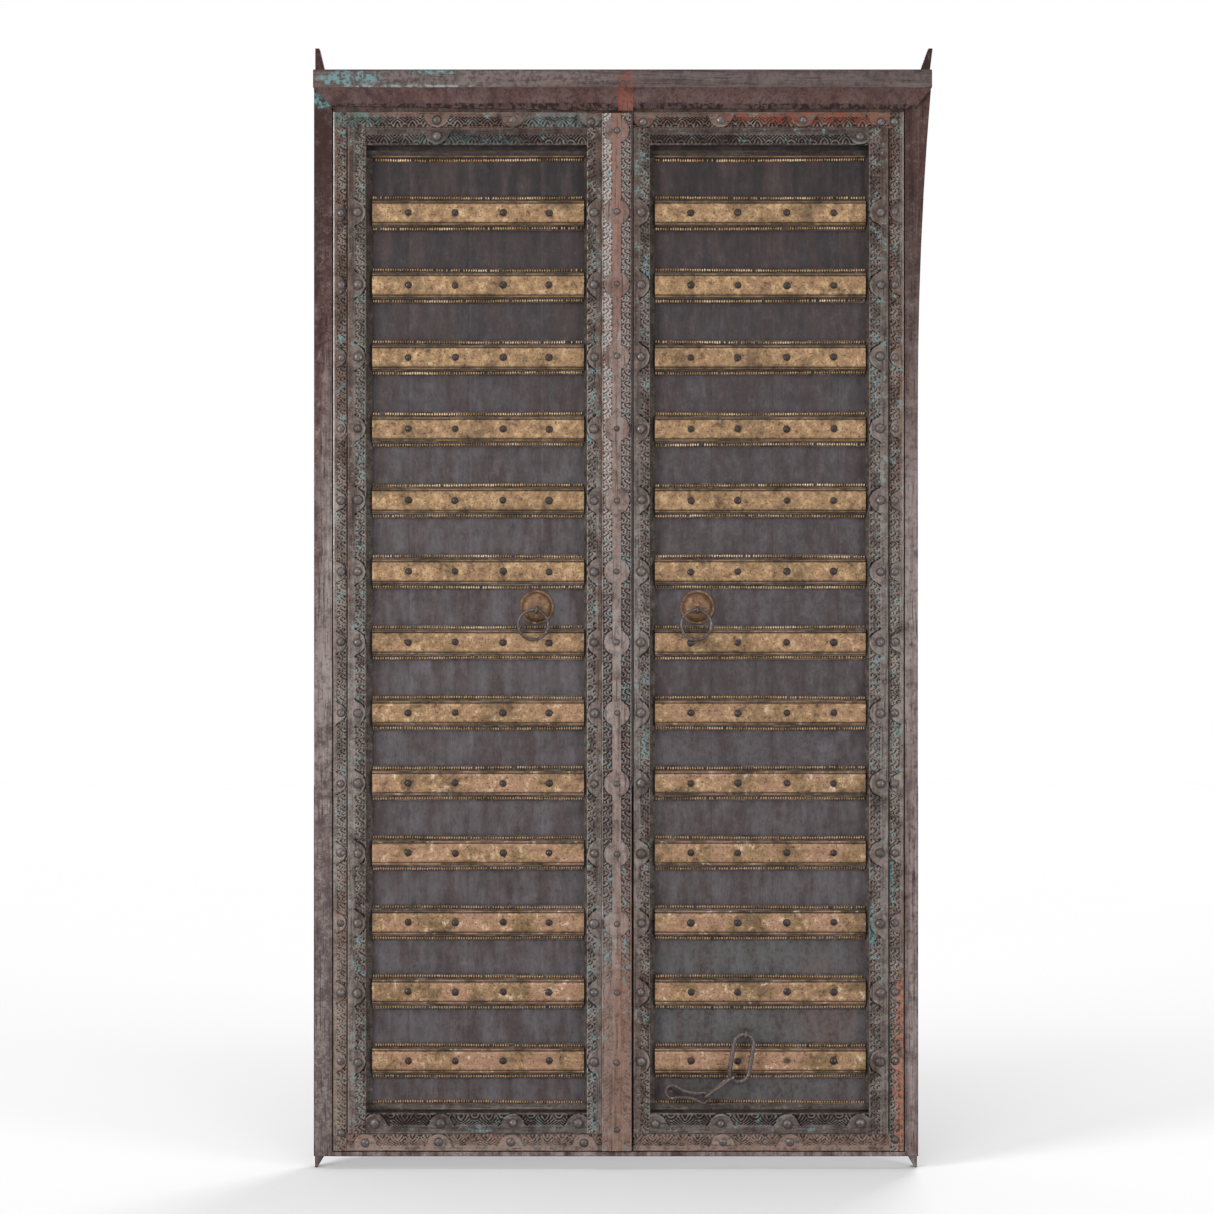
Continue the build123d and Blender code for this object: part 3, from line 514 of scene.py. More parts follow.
def scrollwork(along, across, band, pitch):
    """A running vine with a curled leaf in every bend: 1 on the raised work, 0 on the ground.

    along runs up the band, and across runs from its root to its far edge.
    """
    turn = along / pitch + 0.1 * np.sin(along / 47.0)
    phase = turn * 2 * math.pi
    middle = band * (0.5 + 0.3 * np.sin(phase))
    raised = np.exp(-(((across - middle) / (0.1 * band)) ** 2))
    for share, side in ((0.25, 0.2), (0.75, 0.8)):
        offset = ((turn - share + 0.5) % 1.0 - 0.5) * pitch
        rise = across - side * band
        reach = np.hypot(offset, rise)
        angle = np.arctan2(rise, offset)
        curl = 0.5 + 0.5 * np.cos(reach * 2 * math.pi / (0.4 * band) + angle)
        raised = np.maximum(raised, curl * (1.0 - smooth(reach, 0.34 * band, 0.5 * band)))
        # Leaf tips that flick back off the curl
        tip = np.cos((offset * 1.4 + rise * (1.0 if side < 0.5 else -1.0)) * 2 * math.pi / 6.6)
        leaf = (0.5 + 0.5 * tip) * smooth(reach, 0.44 * band, 0.56 * band)
        raised = np.maximum(raised, leaf * (1.0 - smooth(reach, 0.7 * band, 0.95 * band)))
    return raised


def fans(along, across, band, pitch):
    """Fans on the band's far edge: nested strokes that bend away from a small half-round heart."""
    local = ((along / pitch + 0.5) % 1.0 - 0.5) * pitch
    drop = band - across
    reach = np.hypot(local, drop * 1.1)
    rings = 0.5 + 0.5 * np.cos(reach * 2 * math.pi / 7.0)
    petals = 0.5 + 0.5 * np.cos((np.abs(local) - 0.045 * drop**2) * 2 * math.pi / 7.2)
    return np.where(reach < 0.24 * pitch, rings, petals)


def chip_row(along, across, middle, reach, pitch):
    """A row of small crescent gouge cuts: 1 in the cuts."""
    local = (along / pitch) % 1.0 - 0.5
    radius = np.hypot((across - middle) / reach, local / 0.46)
    return np.exp(-(((radius - 0.7) / 0.22) ** 2)) * (local > -0.32)


def lobes(along, across, studs, root, reach, half_length):
    """How far inside the nearest plain lobe a place is, in millimetres; less than 0 is outside.

    The lobes swell round each stud with an ogee shoulder at both ends.
    """
    inside = np.full_like(along, -20.0)
    for stud in studs:
        span = np.abs(along - stud) / half_length
        disc = np.sqrt(np.clip(1.0 - (span / 0.8) ** 2, 0.0, 1.0))
        swell = root + (reach - root) * np.maximum(disc, 0.45 * smooth(1.0 - span, 0.0, 0.4))
        inside = np.maximum(inside, np.where(span < 1.0, (swell - across) * 0.8, -20.0))
    return inside


def moulding_relief(along, across, width, studs, half_length, seed, **cut):
    """A carved board: chips on its root side, lobes round its studs, carving out to its edge.

    cut may give fans, the spacing of fans in place of the scroll; root, the share of the
    width that the chips take; lobe_reach, how near the lobes come to the edge; and
    root_wear_and_highlight and edge_wear, how white the two arrises are made,
    rubbed wear with painted highlight on them; and fade, the two places between which the
    root's whitening grows from a fifth to all of that.
    """
    sizes = bpy.context.scene.door_sizes
    depth = sizes.recess / MM
    root = cut.get("root", 0.42) * width
    band = width - root - 2.2
    sway = 0.7 * ripple(along, across * 6, 26.0, seed)
    if "fans" in cut:
        raised = fans(along + sway, across - root, band, cut["fans"])
    else:
        raised = scrollwork(along + sway, across - root, band, sizes.scroll_pitch / MM)
    in_band = smooth(across, root - 0.6, root + 0.6)
    in_band *= 1 - smooth(across, width - 2.6, width - 1.8)
    reach = width - cut.get("lobe_reach", 1.2)
    inside = lobes(along, across, studs, root - 3.0, reach, half_length)
    plain = smooth(inside, -0.8, 0.8)
    clear = np.ones_like(along)
    for stud in studs:
        clear = np.minimum(clear, smooth(np.abs(along - stud), half_length - 12, half_length - 4))
    pitch = sizes.chip_pitch / MM
    chips = chip_row(along + sway, across, 0.22 * width, 0.14 * width, pitch) * clear
    height = -depth * (1.0 - raised) * in_band * (1 - plain)
    outline = np.exp(-(((inside + 1.4) / 1.5) ** 2)) * (across > root - 3.0)
    height -= 0.85 * depth * outline
    height -= 0.45 * depth * chips * (across < root)
    recess = np.clip(-height / depth, 0, 1)
    # Knocks and the unevenness of hand work
    height += 0.3 * ripple(along, across, 34.0, seed + 1)
    edge = np.minimum(across, width - across)
    rounded = 1.0 - smooth(edge, 0.0, 2.4)
    height -= 1.2 * rounded**2
    patchy = smooth(ripple(along, across, 60.0, seed + 2), -0.4, 0.5)
    wear = 0.35 * in_band * raised * (1 - plain) * patchy
    wear += 0.45 * np.exp(-(((inside - 1.4) / 1.2) ** 2)) * patchy * (across > root)
    near_root = 1 - smooth(across, 1.5, 3.2)
    near_edge = 1 - smooth(width - across, 1.5, 3.2)
    knocked = smooth(ripple(along * 3, across, 30.0, seed + 3), -0.6, 0.6)
    grown = 0.2 + 0.8 * smooth(along, *cut["fade"]) if "fade" in cut else 1.0
    # The arrises are whitened: rubbed wear, and on the left-facing edges painted highlight
    wear += near_root * cut.get("root_wear_and_highlight", 0.2) * (0.75 + 0.25 * knocked) * grown
    wear += near_edge * cut.get("edge_wear", 0.3) * knocked
    return height, recess, np.clip(wear, 0, 1)


def board_relief(run, near, far, *args, **cut):
    """Moulding relief from a root side to a far edge; run is z up a stile, or x along a rail."""
    toward = 1.0 if far > near else -1.0
    width = abs(far - near)

    def relief(x, z):
        along, across = (z, x) if run == "z" else (x, z)
        return moulding_relief(along, (across - near) * toward, width, *args, **cut)

    return relief


def astragal_relief(x_middle, half_width, levels):
    """The cover strip: scrollwork to both sides of a plain ridge, round bosses at its screws."""
    sizes = bpy.context.scene.door_sizes
    depth = sizes.recess / MM
    ridge = 9.0

    def relief(x, z):
        across = np.abs(x - x_middle)
        left = x < x_middle
        band = half_width - ridge - 2.4
        sway = 0.6 * ripple(z, x * 4, 30.0, 90)
        vine = scrollwork(
            z + sway + np.where(left, 0.0, 9.0), across - ridge, band, sizes.scroll_pitch / MM
        )
        boss = np.zeros_like(x)
        for level in levels:
            reach = np.hypot(across, z - level)
            boss = np.maximum(boss, 1 - smooth(reach, half_width - 5.4, half_width - 1.6))
        in_band = smooth(across, ridge - 0.6, ridge + 0.6)
        in_band *= 1 - smooth(across, half_width - 2.8, half_width - 2.0)
        kept = 0.45 + 0.55 * smooth(z, 150.0, 800.0)
        height = -depth * (1.0 - vine) * in_band * (1 - boss) * kept
        height -= 0.85 * depth * np.exp(-(((boss - 0.4) / 0.35) ** 2)) * in_band * kept
        recess = np.clip(-height / depth, 0, 1)
        height += 0.35 * ripple(x, z, 44.0, 91)
        edge = half_width - across
        rounded = 1.0 - smooth(edge, 0.0, 3.0)
        height -= 2.0 * rounded**2
        patchy = smooth(ripple(x, z, 70.0, 92), -0.4, 0.5)
        # The left side and its upper vine are made nearly white: rubbed wear, and painted
        # highlight from the light on the left
        upper = np.where(left, 0.6, 0.25) * smooth(z, 900.0, 1500.0) + 0.15
        wear = vine * in_band * (1 - boss) * upper
        wear += np.where(left, 0.8, 0.3) * (1 - smooth(edge, 1.0, 2.2)) * patchy
        wear += 0.6 * np.exp(-(((boss - 0.85) / 0.12) ** 2)) * in_band * patchy
        return height, recess, np.clip(wear, 0, 1)

    return relief


def body_of(side):
    """The body that a leaf's pieces ride on."""
    return f"{side}_leaf"


def nodes_of(side, *labels):
    """The names of a leaf's CAD nodes."""
    return [f"{side}_{label}" for label in labels]


# Ragged patches of colour: centre and radii in metres, colour and strength
PATCHES = {
    "moulding_streak": ((0.514, -0.02, 0.46), (0.007, 0.2, 0.05), "#5c9496", 0.5),
    "moulding_green": ((-0.3, -0.02, 2.03), (0.12, 0.2, 0.014), "#4d6867", 0.35),
    "band_corner": ((-0.53, -0.02, 2.075), (0.07, 0.2, 0.02), "#55706d", 0.6),
    "band_red": ((0.42, -0.02, 2.076), (0.22, 0.2, 0.014), "#7d4434", 0.8),
    "band_blue": ((-0.1, -0.02, 2.07), (0.09, 0.2, 0.02), "#557374", 0.5),
    "band_rust": ((-0.1, -0.02, 0.03), (0.9, 0.2, 0.05), "#8f7467", 0.7),
    "band_left_foot": ((-0.545, -0.02, 0.25), (0.03, 0.2, 0.35), "#8f6d5a", 0.35),
    "band_right_foot": ((0.574, -0.02, 0.15), (0.019, 0.2, 0.24), "#a8705c", 0.7),
    "band_streak": ((0.553, -0.02, 0.55), (0.006, 0.2, 0.05), "#5c9496", 0.42),
    "astragal_head": ((0.003, -0.03, 1.9), (0.012, 0.2, 0.3), "#85594a", 0.7),
    "astragal_foot": ((0.003, -0.03, 0.16), (0.05, 0.2, 0.26), "#80604f", 0.5),
    "planks_green": ((0.3, 0.0, 0.27), (0.26, 0.2, 0.2), "#565c58", 0.42),
    "planks_shade": ((0.28, 0.0, 1.1), (0.26, 0.2, 0.45), "#383334", 0.5),
    "planks_red": ((0.42, 0.0, 0.3), (0.07, 0.2, 0.1), "#6b4640", 0.32),
    "jamb_head": ((-0.6, 0.0, 1.95), (0.05, 0.4, 0.4), "#33201d", 0.75),
    "jamb_paint": ((-0.585, -0.02, 2.112), (0.03, 0.2, 0.02), "#64898b", 0.8),
    "jamb_foot": ((-0.6, 0.0, 0.1), (0.09, 0.4, 0.7), "#4c4040", 0.75),
    "beam_dust": ((-0.3, -0.03, 2.152), (0.34, 0.2, 0.02), "#827b79", 0.3),
    "beam_paint": ((-0.53, -0.03, 2.152), (0.075, 0.2, 0.016), "#64898b", 0.75),
    "beam_line": ((-0.42, -0.03, 2.136), (0.14, 0.2, 0.003), "#8a9d9a", 0.6),
    "beam_spots": ((-0.36, -0.03, 2.164), (0.05, 0.2, 0.005), "#64898b", 0.8),
    "beam_red": ((0.021, -0.03, 2.145), (0.018, 0.2, 0.03), "#783f33", 0.7),
    # Painted shadow: a near-black ragged line along the foot of the head facings
    "facing_grime": ((0.0, -0.03, 2.097), (0.9, 0.2, 0.009), "#1d1616", 0.95),
}

# Each wood: its colours at the head, from the pulls down, in the grain and in the dust, and
# the way of its grain; its looks; and its patches. The planks' own colour is the user's.
WOODS = {
    # Mouldings, grey with dust and handling, with turquoise left in the cuts
    "carved_rosewood": (
        ("#5d534c", "#7a706b", "#2b2423", "#9a8e87", "Z"),
        {"tint": "#5a453c", "paint": 1.0},
        ("moulding_streak",),
    ),
    "carved_rosewood_rail": (
        ("#554b47", "#625956", "#231d1c", "#8d837d", "X"),
        {"tint": "#4c3c36", "paint": 0.7},
        ("moulding_green",),
    ),
    # Bands round the leaves: greenish at the left head, red at the right, rusty at the foot
    "carved_teak_band": (
        ("#655c57", "#867a74", "#2d2624", "#a0948c", "X"),
        {"tint": "#6b4f42", "paint": 0.8},
        ("band_corner", "band_red", "band_blue", "band_rust"),
    ),
    "carved_teak_stile_band": (
        ("#675e58", "#7f7670", "#2c2725", "#a3978f", "Z"),
        {"tint": "#6b4f42", "paint": 0.8},
        ("band_corner", "band_left_foot", "band_right_foot", "band_streak"),
    ),
    # The cover strip is rubbed pinkish brown, redder at its head and foot
    "astragal_rosewood": (
        ("#7c6c66", "#857873", "#3a2d2b", "#a89c96", "Z"),
        {"tint": "#7f6053", "paint": 1.0, "streaks": 0.4},
        ("astragal_head", "astragal_foot"),
    ),
    # Dark planks, dull and slightly waxed, so that they take a soft grey sheen
    "dark_shisham_planks": (
        ("#262122", None, "#242021", "#6d696e", "Z"),
        {"tint": "#433636", "streaks": 0.26, "fibres": 0.4, "stretch": 0.22}
        | {"roughness": 0.55, "polish": 0.2, "bump": 0.3},
        ("planks_green", "planks_shade", "planks_red"),
    ),
    "dark_shisham_ledges": (
        ("#3d342f", "#4f4742", "#1f1b1a", "#857a72", "X"),
        {"streaks": 0.5},
        (),
    ),
    # Frame: reddish brown above, greyer and dustier from the pulls down
    "frame_shisham": (
        ("#38251f", "#867a76", "#2a1e1f", "#9a918e", "Z"),
        {"tint": "#543b37"},
        ("jamb_head", "jamb_paint", "jamb_foot"),
    ),
    "head_shisham": (
        ("#5d5250", "#5d5250", "#2f2929", "#8a807d", "X"),
        {"tint": "#5c4a47"},
        ("beam_dust", "beam_paint", "beam_line", "beam_spots", "beam_red"),
    ),
    # The sloping facings were sawn with the grain standing up, and carry a painted shadow along
    # their foot
    "facing_shisham": (
        ("#5a4744", "#5a4744", "#2e2325", "#7c6a66", "Z"),
        {"tint": "#553c37", "bump": 0.35},
        ("facing_grime",),
    ),
    "red_painted_shisham": (
        ("#783f33", "#783f33", "#3a2a28", "#875a4e", "Z"),
        {"tint": "#6b5048", "streaks": 0.5},
        (),
    ),
    "stile_shisham": (
        ("#453934", "#5d524d", "#241e1c", "#7f726b", "Z"),
        {"tint": "#5c4640", "streaks": 0.5},
        (),
    ),
}


def wood_finishes():
    """The door's woods, made once and shared by the pieces."""
    planks = tuple(bpy.context.scene.door_colours.planks)
    for name, ((head, foot, dark, pale, along), looks, patches) in WOODS.items():
        if name not in bpy.data.materials:
            aged_wood(name, head, foot or planks, dark, pale, along, patches, **looks)


def outline(low, high):
    """The front of a box, as its lower left and upper right corners in x and z."""
    return (low[0], low[2]), (high[0], high[2])


def carve(name, corners, faces, steps, relief, kind, *nodes):
    """One carved board between two corners as a piece; kind is its wood, body and slot, and the
    slot is not used.
    """
    material, body, slot = kind
    bm = bmesh.new()
    relief_board(bm, *corners, faces, steps, relief)
    finish_piece(bm, name, bpy.data.materials[material], body, slot, *nodes)


def rail_studs(side, z_low, z_high):
    """The x of a leaf's studs whose middles lie between two levels, in millimetres."""
    low, high = node_box(f"{side}_top_rail")
    spots = [((a[0] + b[0]) / 2, (a[2] + b[2]) / 2) for a, b in solids_of(f"{side}_studs")]
    spots = [x for x, z in spots if low[0] < x < high[0] and z_low < z < z_high]
    return spots + [x for x, z in RAIL_STUDS[side] if z_low < z < z_high]


class DOOR_OT_mouldings(bpy.types.Operator):
    """Carve the planted mouldings on both leaves"""

    bl_idname = "door.mouldings"
    bl_label = "Carved Mouldings"

    def execute(self, context):
        wood_finishes()
        step = context.scene.door_sizes.carve_step / MM
        faces = (MOULDING_FACE, LEAF_FACE)
        seed = 10
        for side in SIDES:
            levels = middles(f"{side}_brass_strips", 2)
            kind = ("carved_rosewood", body_of(side), "carved_wood")
            for label in ("hanging_moulding", "meeting_moulding"):
                node = f"{side}_{label}"
                low, high = node_box(node)
                chips_left = (side == "left") == (label == "hanging_moulding")
                root, edge = (low[0], high[0]) if chips_left else (high[0], low[0])
                # The left meeting moulding's far edge is whitened more: rubbed wear and painted
                # highlight
                wear = 0.6 if node == "left_meeting_moulding" else 0.3
                relief = board_relief("z", root, edge, levels, MOULDING_LOBE, seed, edge_wear=wear)
                steps = (step * 0.9, step)
                carve(f"{node}_carved", outline(low, high), faces, steps, relief, kind, node)
                seed += 5
            kind = ("carved_rosewood_rail", body_of(side), "carved_wood")
            for label, upward, fan in (
                ("top_moulding", False, TOP_MOULDING_FANS),
                ("bottom_moulding", True, BOTTOM_MOULDING_FANS),
            ):
                node = f"{side}_{label}"
                low, high = node_box(node)
                root, edge = (low[2], high[2]) if upward else (high[2], low[2])
                studs = rail_studs(side, low[2], high[2])
                relief = board_relief("x", root, edge, studs, MOULDING_LOBE, seed, fans=fan)
                steps = (step, step * 0.9)
                carve(f"{node}_carved", outline(low, high), faces, steps, relief, kind, node)
                seed += 5
        return {"FINISHED"}


class DOOR_OT_bands(bpy.types.Operator):
    """Carve the outer bands on the stiles and rails"""

    bl_idname = "door.bands"
    bl_label = "Carved Bands"

    def execute(self, context):
        wood_finishes()
        step = context.scene.door_sizes.carve_step / MM
        faces = (LEAF_FACE - BAND_DEPTH, LEAF_FACE - 0.05)
        for seed, side in ((60, "left"), (80, "right")):
            body = body_of(side)
            levels = middles(f"{side}_brass_strips", 2)
            stile_low, stile_high = node_box(f"{side}_hanging_stile")
            moulding_low, moulding_high = node_box(f"{side}_hanging_moulding")
            meeting_low, meeting_high = node_box(f"{side}_meeting_moulding")
            foot = node_box(f"{side}_bottom_rail")[0][2]
            head = node_box("head_facing_left")[0][2] - 2.0
            if side == "left":
                outer, inner = stile_low[0], moulding_low[0] - 2.5
                start, end, white = inner, meeting_high[0], 1.0
                corners = (outer, foot), (inner, head)
            else:
                outer, inner = stile_high[0], moulding_high[0] + 2.5
                start, end, white = meeting_low[0], inner, 0.5
                corners = (inner, foot), (outer, head)
            # The outer edges are whitened higher up the door, the left leaf's fully: rubbed wear
            # and painted highlight
            worn_and_lit_edge = {"root": 0.3, "root_wear_and_highlight": white, "fade": (900.0, 1300.0)}
            relief = board_relief("z", outer, inner, levels, STILE_BAND_LOBE, seed, **worn_and_lit_edge)
            kind = ("carved_teak_stile_band", body, "leaf_wood")
            carve(f"{side}_stile_band", corners, faces, (step * 0.9, step), relief, kind)
            top_foot = moulding_high[2] + 0.6
            foot_top = moulding_low[2] - 0.6
            kind = ("carved_teak_band", body, "leaf_wood")
            for label, z0, z1, upward in (
                ("top_band", top_foot, head, False),
                ("foot_band", foot, foot_top, True),
            ):
                root, edge = (z0, z1) if upward else (z1, z0)
                studs = rail_studs(side, z0, z1)
                cut = {"fans": BAND_FANS, "root": 0.3}
                relief = board_relief("x", root, edge, studs, MOULDING_LOBE, seed + 5, **cut)
                corners = (start, z0), (end, z1)
                carve(f"{side}_{label}", corners, faces, (step, step * 0.9), relief, kind)
        return {"FINISHED"}


class DOOR_OT_astragal(bpy.types.Operator):
    """Carve the cover strip at the meeting line"""

    bl_idname = "door.astragal"
    bl_label = "Astragal"

    def execute(self, context):
        wood_finishes()
        step = context.scene.door_sizes.carve_step / MM
        low, high = node_box("astragal")
        middle = (low[0] + high[0]) / 2
        levels = middles("astragal_studs", 2)
        carve(
            "astragal_carved",
            outline(low, high),
            (ASTRAGAL_FACE, LEAF_FACE),
            (step * 0.9, step),
            astragal_relief(middle, (high[0] - low[0]) / 2, levels),
            ("astragal_rosewood", "left_leaf", "astragal_wood"),
            "astragal",
        )
        return {"FINISHED"}


class DOOR_OT_planks(bpy.types.Operator):
    """Hand-planed planks behind the brass strips"""

    bl_idname = "door.planks"
    bl_label = "Planks"

    def execute(self, context):
        wood_finishes()
        for seed, side in ((120, "left"), (140, "right")):
            boards = solids_of(f"{side}_planks")
            low, high = node_box(f"{side}_planks")
            joints = [board[0][0] for board in boards[1:]]

            def planed(x, z, joints=joints, seed=seed):
                height = 0.5 * ripple(x * 3, z * 0.25, 60.0, seed)
                recess = np.zeros_like(x)
                for joint in joints:
                    gap = np.exp(-(((x - joint) / 1.7) ** 2))
                    height -= 1.4 * gap
                    recess += 0.35 * gap
                return height, recess, np.zeros_like(x)

            carve(
                f"{side}_planks_planed",
                outline(low, high),
                (PLANK_FACE, high[1]),
                (3.0, 20.0),
                planed,
                ("dark_shisham_planks", body_of(side), "plank_wood"),
                f"{side}_planks",
            )
            nodes = nodes_of(side, "ledges", "panel_beads", "back_battens")
            give_material(bpy.data.materials["dark_shisham_ledges"], *nodes)
        return {"FINISHED"}


class DOOR_OT_brass_strips(bpy.types.Operator):
    """Beaten brass strips, dimpled at their nails"""

    bl_idname = "door.brass_strips"
    bl_label = "Brass Strips"

    def execute(self, context):
        brass = tuple(context.scene.door_colours.brass)
        material = beaten_brass("beaten_brass", "#c0a076", brass, "#4d3c2d")
        dent = context.scene.door_sizes.dent / MM
        for seed, side in ((200, "left"), (230, "right")):
            nails = middles(f"{side}_strip_nails", 0)
            bm = bmesh.new()
            for row, (low, high) in enumerate(solids_of(f"{side}_brass_strips")):
                level = (low[2] + high[2]) / 2

                def beaten(x, z, level=level, nails=nails, seed=seed + row):
                    sag = 1.2 * np.sin(x / 70.0 + seed)
                    across = np.abs(z - level + 0.5 * sag)
                    height = 0.8 - 1.5 * smooth(across, 16.0, 19.0)
                    height += dent * 0.5 * ripple(x, z * 1.4, 24.0, seed)
                    height += dent * 0.4 * ripple(x, z, 10.0, seed + 50)
                    recess = 0.6 * smooth(across, 15.5, 19.0)
                    for nail in nails:
                        reach = np.hypot(x - nail, z - level)
                        height -= DIMPLE_DEPTH * np.exp(-((reach / DIMPLE_RADIUS) ** 2))
                        recess += 0.75 * np.exp(-((reach / DIMPLE_DIRT) ** 4))
                    return height, recess, np.zeros_like(x)

                faces = (STRIP_FACE, LEDGE_FACE)
                relief_board(bm, *outline(low, high), faces, (3.0, 2.5), beaten)
            name = f"{side}_brass_strips"
            finish_piece(bm, f"{name}_beaten", material, body_of(side), "brass", name)
        return {"FINISHED"}


def reed(bm, x0, x1, y, z, radius, seed):
    """An uneven half-round brass reed laid along a ledge."""

    def half_round(along, across):
        rise = radius * np.sqrt(np.clip(1.0 - ((across - z) / radius) ** 2, 0.0, 1.0))
        dents = 0.35 * ripple(along, across, 40.0, seed)
        return rise + dents, np.zeros_like(along), np.zeros_like(along)

    corners = (x0, z - radius), (x1, z + radius)
    relief_board(bm, *corners, (y, y + 0.5), (12.0, radius / 2), half_round)


def bead_row(bm, x0, x1, y, z, pitch, random):
    """A row of small uneven beads, about one in twenty of them lost."""
    for i in range(int((x1 - x0) / pitch)):
        if random.random() < 0.05:
            continue
        x = x0 + (i + 0.5) * pitch + random.uniform(-0.4, 0.4)
        size = random.uniform(0.85, 1.12)
        wave = random.uniform(-0.4, 0.4) + 1.0 * math.sin(x / 90.0 + z)
        matrix = Matrix.Translation((x * MM, y * MM, (z + wave) * MM))
        matrix @= Matrix.Diagonal((1.95 * size, 3.4 * size, 3.3 * size, 1.0))
        bmesh.ops.create_icosphere(bm, subdivisions=1, radius=MM, matrix=matrix)


class DOOR_OT_beads(bpy.types.Operator):
    """Rows of small brass beads and a reed along both edges of every ledge"""

    bl_idname = "door.beads"
    bl_label = "Brass Beads"

    def execute(self, context):
        # The beads' pale gold is partly painted highlight
        bright = beaten_brass("rubbed_brass_beads", "#ffe8c4", "#bd9768", "#4e3b2e", 0.2, 0.9)
        dull = beaten_brass("tarnished_brass_reeds", "#8a7355", "#5c4a38", "#33281f", 0.5, 0.5)
        pitch = context.scene.door_sizes.bead_pitch / MM
        for seed, side in ((300, "left"), (330, "right")):
            low, high = node_box(f"{side}_brass_strips")
            random = np.random.default_rng(seed)
            bm = bmesh.new()
            reeds = bmesh.new()
            rows = []
            for a, b in solids_of(f"{side}_ledges"):
                rows += [(a[2] + 4.5, 0.0), (b[2] - 4.5, 0.0)]
            for a, b in solids_of(f"{side}_beaded_edging"):
                reed(reeds, a[0], b[0], b[1], (a[2] + b[2]) / 2, 2.3, seed)
            side_beads = node_box(f"{side}_panel_beads")
            rows += [(side_beads[1][2] - 18.0, 4.0), (side_beads[0][2] + 14.0, 3.5)]
            reed(reeds, low[0], high[0], 0.5, side_beads[1][2] - 11.0, 2.0, seed)
            for z, y in rows:
                bead_row(bm, low[0], high[0], y, z, pitch, random)
            bmesh.ops.recalc_face_normals(bm, faces=bm.faces)
            body = body_of(side)
            finish_piece(bm, f"{side}_brass_beads", bright, body, "brass")
            edging = f"{side}_beaded_edging"
            finish_piece(reeds, f"{side}_brass_reeds", dull, body, "brass", edging)
        return {"FINISHED"}


def dome(bm, spot, radius, crown, segments, rings):
    """A domed head on a face: the front half of a flattened ball, closed behind."""
    place = Vector(spot) * MM
    matrix = (
        Matrix.Translation(place)
        @ Matrix.Rotation(math.pi / 2, 4, "X")
        @ Matrix.Diagonal((radius * MM, radius * MM, crown * MM, 1.0))
    )
    made = bmesh.ops.create_uvsphere(
        bm, u_segments=segments, v_segments=rings, radius=1.0, matrix=matrix
    )["verts"]
    edges = {e for v in made for e in v.link_edges}
    faces = {f for v in made for f in v.link_faces}
    cut = bmesh.ops.bisect_plane(
        bm, geom=[*made, *edges, *faces], plane_co=place, plane_no=(0, 1, 0), clear_outer=True
    )["geom_cut"]
    rim = [g for g in cut if isinstance(g, bmesh.types.BMEdge)]
    bmesh.ops.holes_fill(bm, edges=rim, sides=0)


def heads_from(node, radius_scale, crown_scale, segments, rings, random):
    """Domed heads, each a little different, in the places of a node's blunt solids."""
    bm = bmesh.new()
    for low, high in solids_of(node):
        radius = (high[0] - low[0]) / 2 * radius_scale * random.uniform(0.88, 1.08)
        crown = (high[1] - low[1]) * crown_scale * random.uniform(0.8, 1.1)
        x = (low[0] + high[0]) / 2 + random.uniform(-0.8, 0.8)
        z = (low[2] + high[2]) / 2 + random.uniform(-1.2, 1.2)
        dome(bm, (x, high[1], z), radius, crown, segments, rings)
    return bm


class DOOR_OT_studs(bpy.types.Operator):
    """Domed iron studs on the leaves and small heads down the cover strip"""

    bl_idname = "door.studs"
    bl_label = "Studs"

    def execute(self, context):
        stud = tuple(context.scene.door_colours.stud)
        iron = forged_iron("rubbed_stud_iron", stud, "#403634", "#9aa0a4")
        scale = context.scene.door_sizes.stud_scale
        for seed, side in ((400, "left"), (430, "right")):
            random = np.random.default_rng(seed)
            bm = heads_from(f"{side}_studs", scale, 1.0, 16, 10, random)
            for x, z in RAIL_STUDS[side]:
                spot = (x, LEAF_FACE - 1.0, z)
                dome(bm, spot, RAIL_STUD_RADIUS * scale, RAIL_STUD_CROWN, 16, 10)
            name = f"{side}_domed_studs"
            finish_piece(bm, name, iron, body_of(side), "stud_iron", f"{side}_studs")
        bm = heads_from("astragal_studs", 1.0, 1.2, 14, 8, np.random.default_rng(460))
        finish_piece(bm, "astragal_heads", iron, "left_leaf", "stud_iron", "astragal_studs")
        return {"FINISHED"}


class DOOR_OT_strip_nails(bpy.types.Operator):
    """Dark iron nails through the brass strips"""

    bl_idname = "door.strip_nails"
    bl_label = "Strip Nails"

    def execute(self, context):
        iron = forged_iron("dark_nail_iron", "#332d2c", "#2a1f1b", "#6f6a68")
        for seed, side in ((500, "left"), (530, "right")):
            node = f"{side}_strip_nails"
            bm = heads_from(node, 1.0, 1.2, 12, 8, np.random.default_rng(seed))
            finish_piece(bm, f"{side}_nail_heads", iron, body_of(side), "stud_iron", node)
        return {"FINISHED"}


